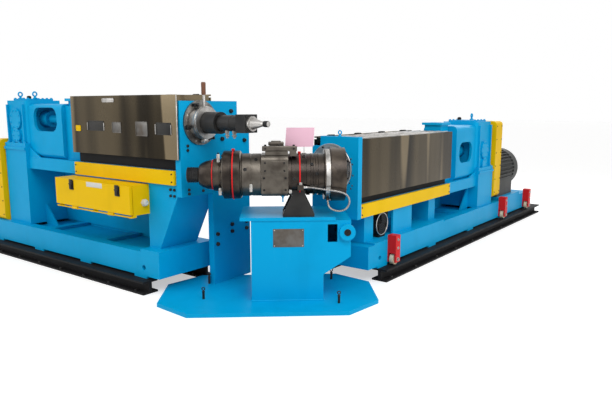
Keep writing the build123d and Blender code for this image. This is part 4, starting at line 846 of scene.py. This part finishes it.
def make_motor_grilles():
    """Wire grilles over the fan ends of the motors."""
    for lane, name, station, z, reach in MOTOR_ENDS:
        grille = Shape(lane)
        for index in range(8):
            grille.loop((station + 0.003, 0.0, z), AHEAD, reach * (0.16 + 0.12 * index), 0.004, 40)
        middle = Vector((station + 0.004, 0.0, z))
        for index in range(6):
            turn = pi * index / 3
            out = Vector((0.0, cos(turn), sin(turn)))
            grille.rod(tuple(middle + out * 0.03), tuple(middle + out * reach), 0.005, 8)
        grille.turned((station - 0.001, 0.0, z), AHEAD, GRILLE_HUB, 28)
        grille.done(f"{name}_motor_grille", "grey_paint")


# The blower's mouth: station, side and height
BLOWER_MOUTH = (0.53, 0.2005, 0.464)


def make_blower_guard():
    """Bright rim and wire guard on the blower's mouth."""
    Shape(MAIN).loop(BLOWER_MOUTH, NEAR, 0.1, 0.0045, 48).done("blower_rim", "bright_steel")
    guard = Shape(MAIN)
    station, side, z = BLOWER_MOUTH
    for index in range(4):
        guard.loop((station, side - 0.002, z), NEAR, 0.024 + 0.02 * index, 0.0022, 36)
    middle = Vector((station, side - 0.003, z))
    for index in range(4):
        turn = pi * index / 4
        out = Vector((cos(turn), 0.0, sin(turn))) * 0.0865
        guard.rod(tuple(middle - out), tuple(middle + out), 0.0022, 8)
    guard.done("blower_guard", "black_steel")


# Bare plates on the auxiliary hood: name, stations, heights and finish
HOOD_PLATES = (
    ("wide_plate", (0.95, 1.179), (1.307, 1.393), "black_steel"),
    ("small_plate", (0.705, 0.829), (1.296, 1.386), "bare_plate"),
    ("tall_plate", (0.36, 0.511), (1.278, 1.395), "bare_plate"),
    ("end_plate", (0.08, 0.253), (1.294, 1.391), "black_steel"),
    ("top_plate", (0.788, 0.954), (1.551, 1.585), "bright_steel"),
    ("yellow_mark", (1.297, 1.37), (1.298, 1.35), "yellow_paint"))
HOOD_FACE = 0.23
PLATE_RIM = 0.006


def make_hood_plates():
    """Bare plates on the auxiliary hood: a raised rim round each, and clips on the black ones."""
    proud = (HOOD_FACE, HOOD_FACE + 0.004)
    for name, stations, heights, finish in HOOD_PLATES:
        plate = Shape(AUX)
        plate.block(stations, (HOOD_FACE - 0.0005, HOOD_FACE + 0.002), heights, 0.0008)
        for ends in ((stations[0], stations[0] + PLATE_RIM), (stations[1] - PLATE_RIM, stations[1])):
            plate.block(ends, proud, heights, 0.001)
        for ends in ((heights[0], heights[0] + PLATE_RIM), (heights[1] - PLATE_RIM, heights[1])):
            plate.block(stations, proud, ends, 0.001)
        plate.done(f"hood_{name}", finish, "aux_hood")
    clips = Shape(AUX)
    for _, stations, heights, finish in HOOD_PLATES:
        if finish == "black_steel":
            for edge in (stations[0] - 0.007, stations[1] + 0.007):
                clips.block(spread(edge, 0.003), (HOOD_FACE - 0.0005, HOOD_FACE + 0.006),
                            (heights[0] + 0.004, heights[1] - 0.016), 0.001)
    clips.done("hood_plate_clips", "bright_steel", "aux_hood")


def make_hood_trim():
    """Bright strip on the auxiliary hood's front edge, and blocks and ribs on the main hood's top."""
    strip = Shape(AUX)
    strip.block((0.0005, 0.01), (HOOD_FACE - 0.001, HOOD_FACE + 0.003), (1.106, 1.605), 0.001)
    strip.done("hood_edge_strip", "bright_steel", "aux_hood")
    blocks = Shape(MAIN)
    for station in (0.297, 0.747, 1.197, 1.647):
        blocks.block(spread(station, 0.032), (-0.226, -0.186), (1.2525, 1.268))
    blocks.done("main_hood_blocks", "black_steel", "main_hood")
    ribs = Shape(MAIN)
    for side in (-0.12, -0.04, 0.04, 0.12, 0.196):
        ribs.block((0.066, 1.866), spread(side, 0.013), (1.2522, 1.258), 0.002)
    ribs.done("main_hood_ribs", "bright_steel", "main_hood")


# Gland in the junction box's end: its place, its nut and its cap
GLAND_PLACE = (0.4135, 0.257, 0.738)
GLAND_NUT = ((0.0, 0.032), (0.012, 0.032), (0.014, 0.028))
GLAND_CAP = ((0.0, 0.026), (0.024, 0.026), (0.034, 0.022), (0.038, 0.014), (0.032, 0.012))


def make_box_trim():
    """Toggle latches and a bare plate on the junction box's lid, and the white gland in its end."""
    latches = Shape(AUX)
    for middle in (1.23, 0.57):
        latches.block(spread(middle, 0.03), (0.3955, 0.402), (0.792, 0.876), 0.002)
        latches.block(spread(middle, 0.018), (0.401, 0.413), (0.8, 0.85))
        latches.block(spread(middle, 0.024), (0.401, 0.408), (0.846, 0.884), 0.002)
        latches.rod((middle - 0.026, 0.408, 0.844), (middle + 0.026, 0.408, 0.844), 0.005)
    latches.done("lid_latches", "black_steel", "box_lid")
    plate = Shape(AUX).block((0.78, 1.004), (0.3955, 0.3975), (0.838, 0.88), 0.0006)
    plate.done("lid_plate", "white_plastic", "box_lid")
    gland = Shape(AUX)
    gland.turned(GLAND_PLACE, BACK, GLAND_NUT, 6)
    gland.turned(GLAND_PLACE, BACK, GLAND_CAP, 28)
    gland.done("box_gland", "white_plastic")


# Sensors on the auxiliary disc (sides, heights), and the profiles of the valves and the lever's grip
SENSORS = (
    ((0.045, 0.09), (1.515, 1.541)), ((0.134, 0.168), (1.338, 1.368)),
    ((-0.12, -0.085), (1.252, 1.278)))
VALVE = ((0.0, 0.017), (0.022, 0.017), (0.024, 0.012), (0.046, 0.012), (0.048, 0.009), (0.058, 0.009))
GRIP = (
    (0.0, 0.0112), (0.0, 0.015), (0.01, 0.018), (0.05, 0.0175), (0.088, 0.0185), (0.0985, 0.0155),
    (0.0985, 0.0112))


def make_clamp_trim():
    """Clamp band with its lug, disc sensors, jackets, valves and lever grip of the auxiliary nose."""
    band = Shape(AUX).band(-0.052, 0.1253, 0.044, 0.005, 64)
    band.block((-0.072, -0.032), (-0.02, 0.02), (1.232, 1.263), 0.004)
    band.rod((-0.052, -0.034, 1.246), (-0.052, 0.034, 1.246), 0.007)
    band.done("clamp_band", "bright_steel")
    sensors = Shape(AUX)
    for sides, heights in SENSORS:
        middle = (sum(sides) / 2, sum(heights) / 2)
        sensors.block((-0.046, -0.0153), sides, heights, 0.004)
        sensors.rod((-0.046, *middle), (-0.058, *middle), 0.007)
    sensors.done("disc_sensors", "black_steel")
    Shape(AUX).sleeve(-0.452, NECK_JACKET, 48).done("neck_jacket", "black_steel")
    Shape(AUX).sleeve(-0.7195, TIP_SLEEVE, 28).done("tip_sleeve", "black_steel")
    valves = Shape(AUX)
    for station in (-0.395, -0.32):
        valves.turned((station, 0.018, 1.3345), DOWN, VALVE, 6)
        valves.rod((station - 0.022, 0.018, 1.296), (station + 0.022, 0.018, 1.296), 0.006)
    valves.done("neck_valves", "dull_steel")
    Shape(AUX).turned((-0.0525, 0.0, 1.606), UP, GRIP, 28, closed=True).done("lever_grip", "grip")


# Bolts of the auxiliary front plate and column, as the photograph shows them: side and height
PLATE_BOLTS = ((0.15, 1.358), (-0.24, 1.251), (-0.35, 1.478), (-0.507, 1.229), (-0.545, 1.38))
PAIR_BOLTS = (
    (0.137, 1.211), (0.137, 1.176), (0.136, 0.863), (0.136, 0.831), (-0.015, 0.887), (-0.015, 0.842),
    (-0.5, 0.9), (-0.5, 0.86))
COLUMN_BOLTS = (
    (-0.164, 0.456), (-0.164, 0.37), (-0.338, 0.514), (-0.338, 0.453), (-0.52, 0.514), (-0.52, 0.453))


def bolt_fronts(black, bright):
    """Screws of the auxiliary front plate, column and upright, and the bolt circles along the axes."""
    for places, size in ((PLATE_BOLTS, 1.7), (PAIR_BOLTS, 1.1), (COLUMN_BOLTS, 1.6)):
        black.add(AUX, [(0.0, side, z) for side, z in places], BACK, size)
    black.add(AUX, grid((0.094, 0.14), 0.2, (0.812, 0.861)), NEAR, 1.1)
    bright.ring(AUX, AUX.on_axis(-0.015), BACK, 0.154, 8, 0.6, 0.5)
    black.ring(MAIN, MAIN.on_axis(-0.015), BACK, 0.19, 8, 0.8, 0.5)
    black.ring(HEAD, HEAD.on_axis(-0.505), BACK, 0.153, 12, 0.8, 0.5)
    black.ring(HEAD, HEAD.on_axis(0.475), AHEAD, 0.115, 8, 0.7)
    black.ring(AUX, AUX.on_axis(-0.55), BACK, 0.074, 4, 0.6, 0.5)


def bolt_crosshead(black, bright):
    """Cap screws of the block, its cover and its clamp, and bolts of the bare plate and the cradle."""
    black.add(HEAD, grid((-0.182, -0.038), 0.166, (1.044, 1.104)), NEAR, 0.7)
    black.add(HEAD, grid((-0.19, -0.03), 0.16, (0.9, 0.99)), NEAR, 0.8)
    black.add(HEAD, grid((-0.18, -0.073, 0.034), 0.09, (1.224,)), UP, 0.9)
    black.add(HEAD, grid((-0.165, -0.025), -0.105, (1.186,)), UP, 0.9)
    black.add(HEAD, grid((-0.18, 0.034), 0.118, (1.205,)), NEAR, 0.7)
    bright.add(HEAD, grid((-0.117, 0.099), 0.127, (0.465, 0.586)), NEAR, 0.35)
    cradle = [(station, side, 0.705) for station in (-0.03, 0.17) for side in (-0.08, 0.08)]
    bright.add(HEAD, cradle, UP, 0.9)


# Gearboxes: lane, first and last station, half width, foot and top
GEARBOXES = ((MAIN, 2.667, 3.121, 0.26, 0.755, 1.335), (AUX, 2.287, 2.687, 0.23, 1.11, 1.575))


def bolt_gearboxes(painted):
    """Painted bolts of the gearboxes: bearing covers on both sides, feet and caps."""
    for lane, start, end, half, low, top in GEARBOXES:
        middle = (start + end) / 2
        for way, side in ((NEAR, half - 0.018), (FAR, 0.018 - half)):
            painted.ring(lane, (middle, side, lane.axis_z), way, 0.088, 8, 0.9, 0.5)
            painted.ring(lane, (middle, side, lane.axis_z - 0.165), way, 0.054, 6, 0.8)
        foot, cap = low + 0.04, top + 0.018
        for side in (0.02 - half, half - 0.02):
            painted.row(lane, (start + 0.04, side, foot), (end - 0.04, side, foot), 4, UP, 1.5)
            inner = copysign(half - 0.105, side)
            painted.row(lane, (start + 0.075, inner, cap), (end - 0.075, inner, cap), 4, UP, 1.1)


# Screws of the side bars: lane, stations, face and heights; and of the guards: lane, start and heights
SIDE_BARS = ((MAIN, (0.095, 1.85), 0.256, (0.612, 0.674)), (AUX, (0.095, 1.415), 0.226, (0.927, 0.989)))
GUARDS = ((MAIN, 3.135, 0.46, 1.275), (AUX, 2.701, 0.39, 1.12))
GUARD_FACE = 0.28


def bolt_covers(black):
    """Small screws of the yellow side bars and belt guards."""
    for lane, stations, face, heights in SIDE_BARS:
        black.add(lane, grid(stations, face, heights), NEAR, 0.6)
    for lane, start, low, high in GUARDS:
        for station in (start + 0.025, start + 0.185):
            for way, side in ((NEAR, GUARD_FACE), (FAR, -GUARD_FACE)):
                black.row(lane, (station, side, low), (station, side, high), 6, way, 0.6)


# Casters: their stations and the forks' outer face; rails: lane, first and last bolt
CASTER_STATIONS = (0.505, 3.33, 4.275)
FORK_FACE = 0.384
RAILS = ((MAIN, 0.42, 4.6), (AUX, 0.42, 3.78))
RAIL_SIDE = 0.315
RAIL_BOLT_SIDE = 0.055
RAIL_FOOT = 0.016


def bolt_ground(black, bright):
    """Axle nuts and bolts of the caster forks, and the bolts along the rails' feet."""
    for station in CASTER_STATIONS:
        for way, side in ((NEAR, FORK_FACE), (FAR, -FORK_FACE)):
            bright.add(MAIN, [(station, side, 0.165)], way, 1.4)
            bright.add(MAIN, grid((station,), side, (0.27, 0.345)), way)
    for lane, first, last in RAILS:
        for rail in (-RAIL_SIDE, RAIL_SIDE):
            for side in (rail - RAIL_BOLT_SIDE, rail + RAIL_BOLT_SIDE):
                black.row(lane, (first, side, RAIL_FOOT), (last, side, RAIL_FOOT), 10, UP, 1.2)


def make_bolts():
    """Every bolt and cap screw of the line, one piece a kind."""
    hexes, caps = BoltTree("hex_bolts", 6), BoltTree("cap_screws", 16)
    black = Bolts("black_cap_screws", caps, "black_steel", 0.01, 0.01, 0.0105)
    bright = Bolts("bright_hex_bolts", hexes, "zinc", 0.01, 0.0075, 0.014)
    painted = Bolts("painted_hex_bolts", hexes, "blue_paint", 0.01, 0.0075, 0.014)
    bolt_fronts(black, bright)
    bolt_crosshead(black, bright)
    bolt_gearboxes(painted)
    bolt_covers(black)
    bolt_ground(black, bright)
    for bolts in (black, bright, painted):
        bolts.done()


# Lamps: name, place, what they aim at, size and power
LINE_MIDDLE = (-0.6, 0.8, 0.8)
LAMPS = (
    ("key_lamp", (3.8, -2.6, 5.5), LINE_MIDDLE, 4.0, 260.0),
    ("fill_lamp", (-4.0, -5.0, 4.0), LINE_MIDDLE, 5.0, 150.0),
    ("back_lamp", (-1.0, 7.5, 5.0), LINE_MIDDLE, 5.0, 150.0),
    ("side_lamp", (6.5, 1.6, 3.0), (0.2, 2.6, 0.6), 3.0, 110.0))
FLOOR_REACH = 60.0
WORLD_LIGHT = 0.58
WORLD_WHITENING = 0.42


def make_stage():
    """Pale floor, soft lamps, and a world that is white to the eye and in reflections."""
    mesh = bpy.data.meshes.new("studio_floor")
    corners = [(x * FLOOR_REACH, y * FLOOR_REACH, 0.0) for x, y in ((-1, -1), (1, -1), (1, 1), (-1, 1))]
    mesh.from_pydata(corners, [], [(0, 1, 2, 3)])
    floor = bpy.data.objects.new("studio_floor", mesh)
    finish = Finish("pale_floor")
    glow = finish.mix(finish.shown(), NO_GLOW, FLOOR_GLOW)
    mesh.materials.append(finish.set(Base_Color=(*FLOOR, 1.0), Roughness=0.6, Emission_Color=glow,
                                     Emission_Strength=1.0))
    SCENE.collection.objects.link(floor)
    for name, place, target, size, power in LAMPS:
        data = bpy.data.lights.new(name, "AREA")
        data.size = size
        data.energy = power
        lamp = bpy.data.objects.new(name, data)
        lamp.location = place
        lamp.rotation_mode = "QUATERNION"
        lamp.rotation_quaternion = (Vector(target) - Vector(place)).to_track_quat("-Z", "Y")
        SCENE.collection.objects.link(lamp)
    world = bpy.data.worlds.new("studio_world")
    SCENE.world = world
    world.use_nodes = True
    sky = Graph(world.node_tree)
    background = world.node_tree.nodes["Background"]
    background.inputs["Color"].default_value = (1.0, 1.0, 1.0, 1.0)
    sky.feed(background.inputs["Strength"], WORLD_LIGHT + sky.shown() * WORLD_WHITENING)


make_camera()
make_conduit()
dress_nodes()
make_nose()
make_straps()
make_jackets()
make_card()
make_connectors()
make_block_trim()
make_pedestal_trim()
make_lifting_eyes()
make_motor_grilles()
make_blower_guard()
make_hood_plates()
make_hood_trim()
make_box_trim()
make_clamp_trim()
make_bolts()
make_stage()
SCENE.view_settings.view_transform = "Standard"
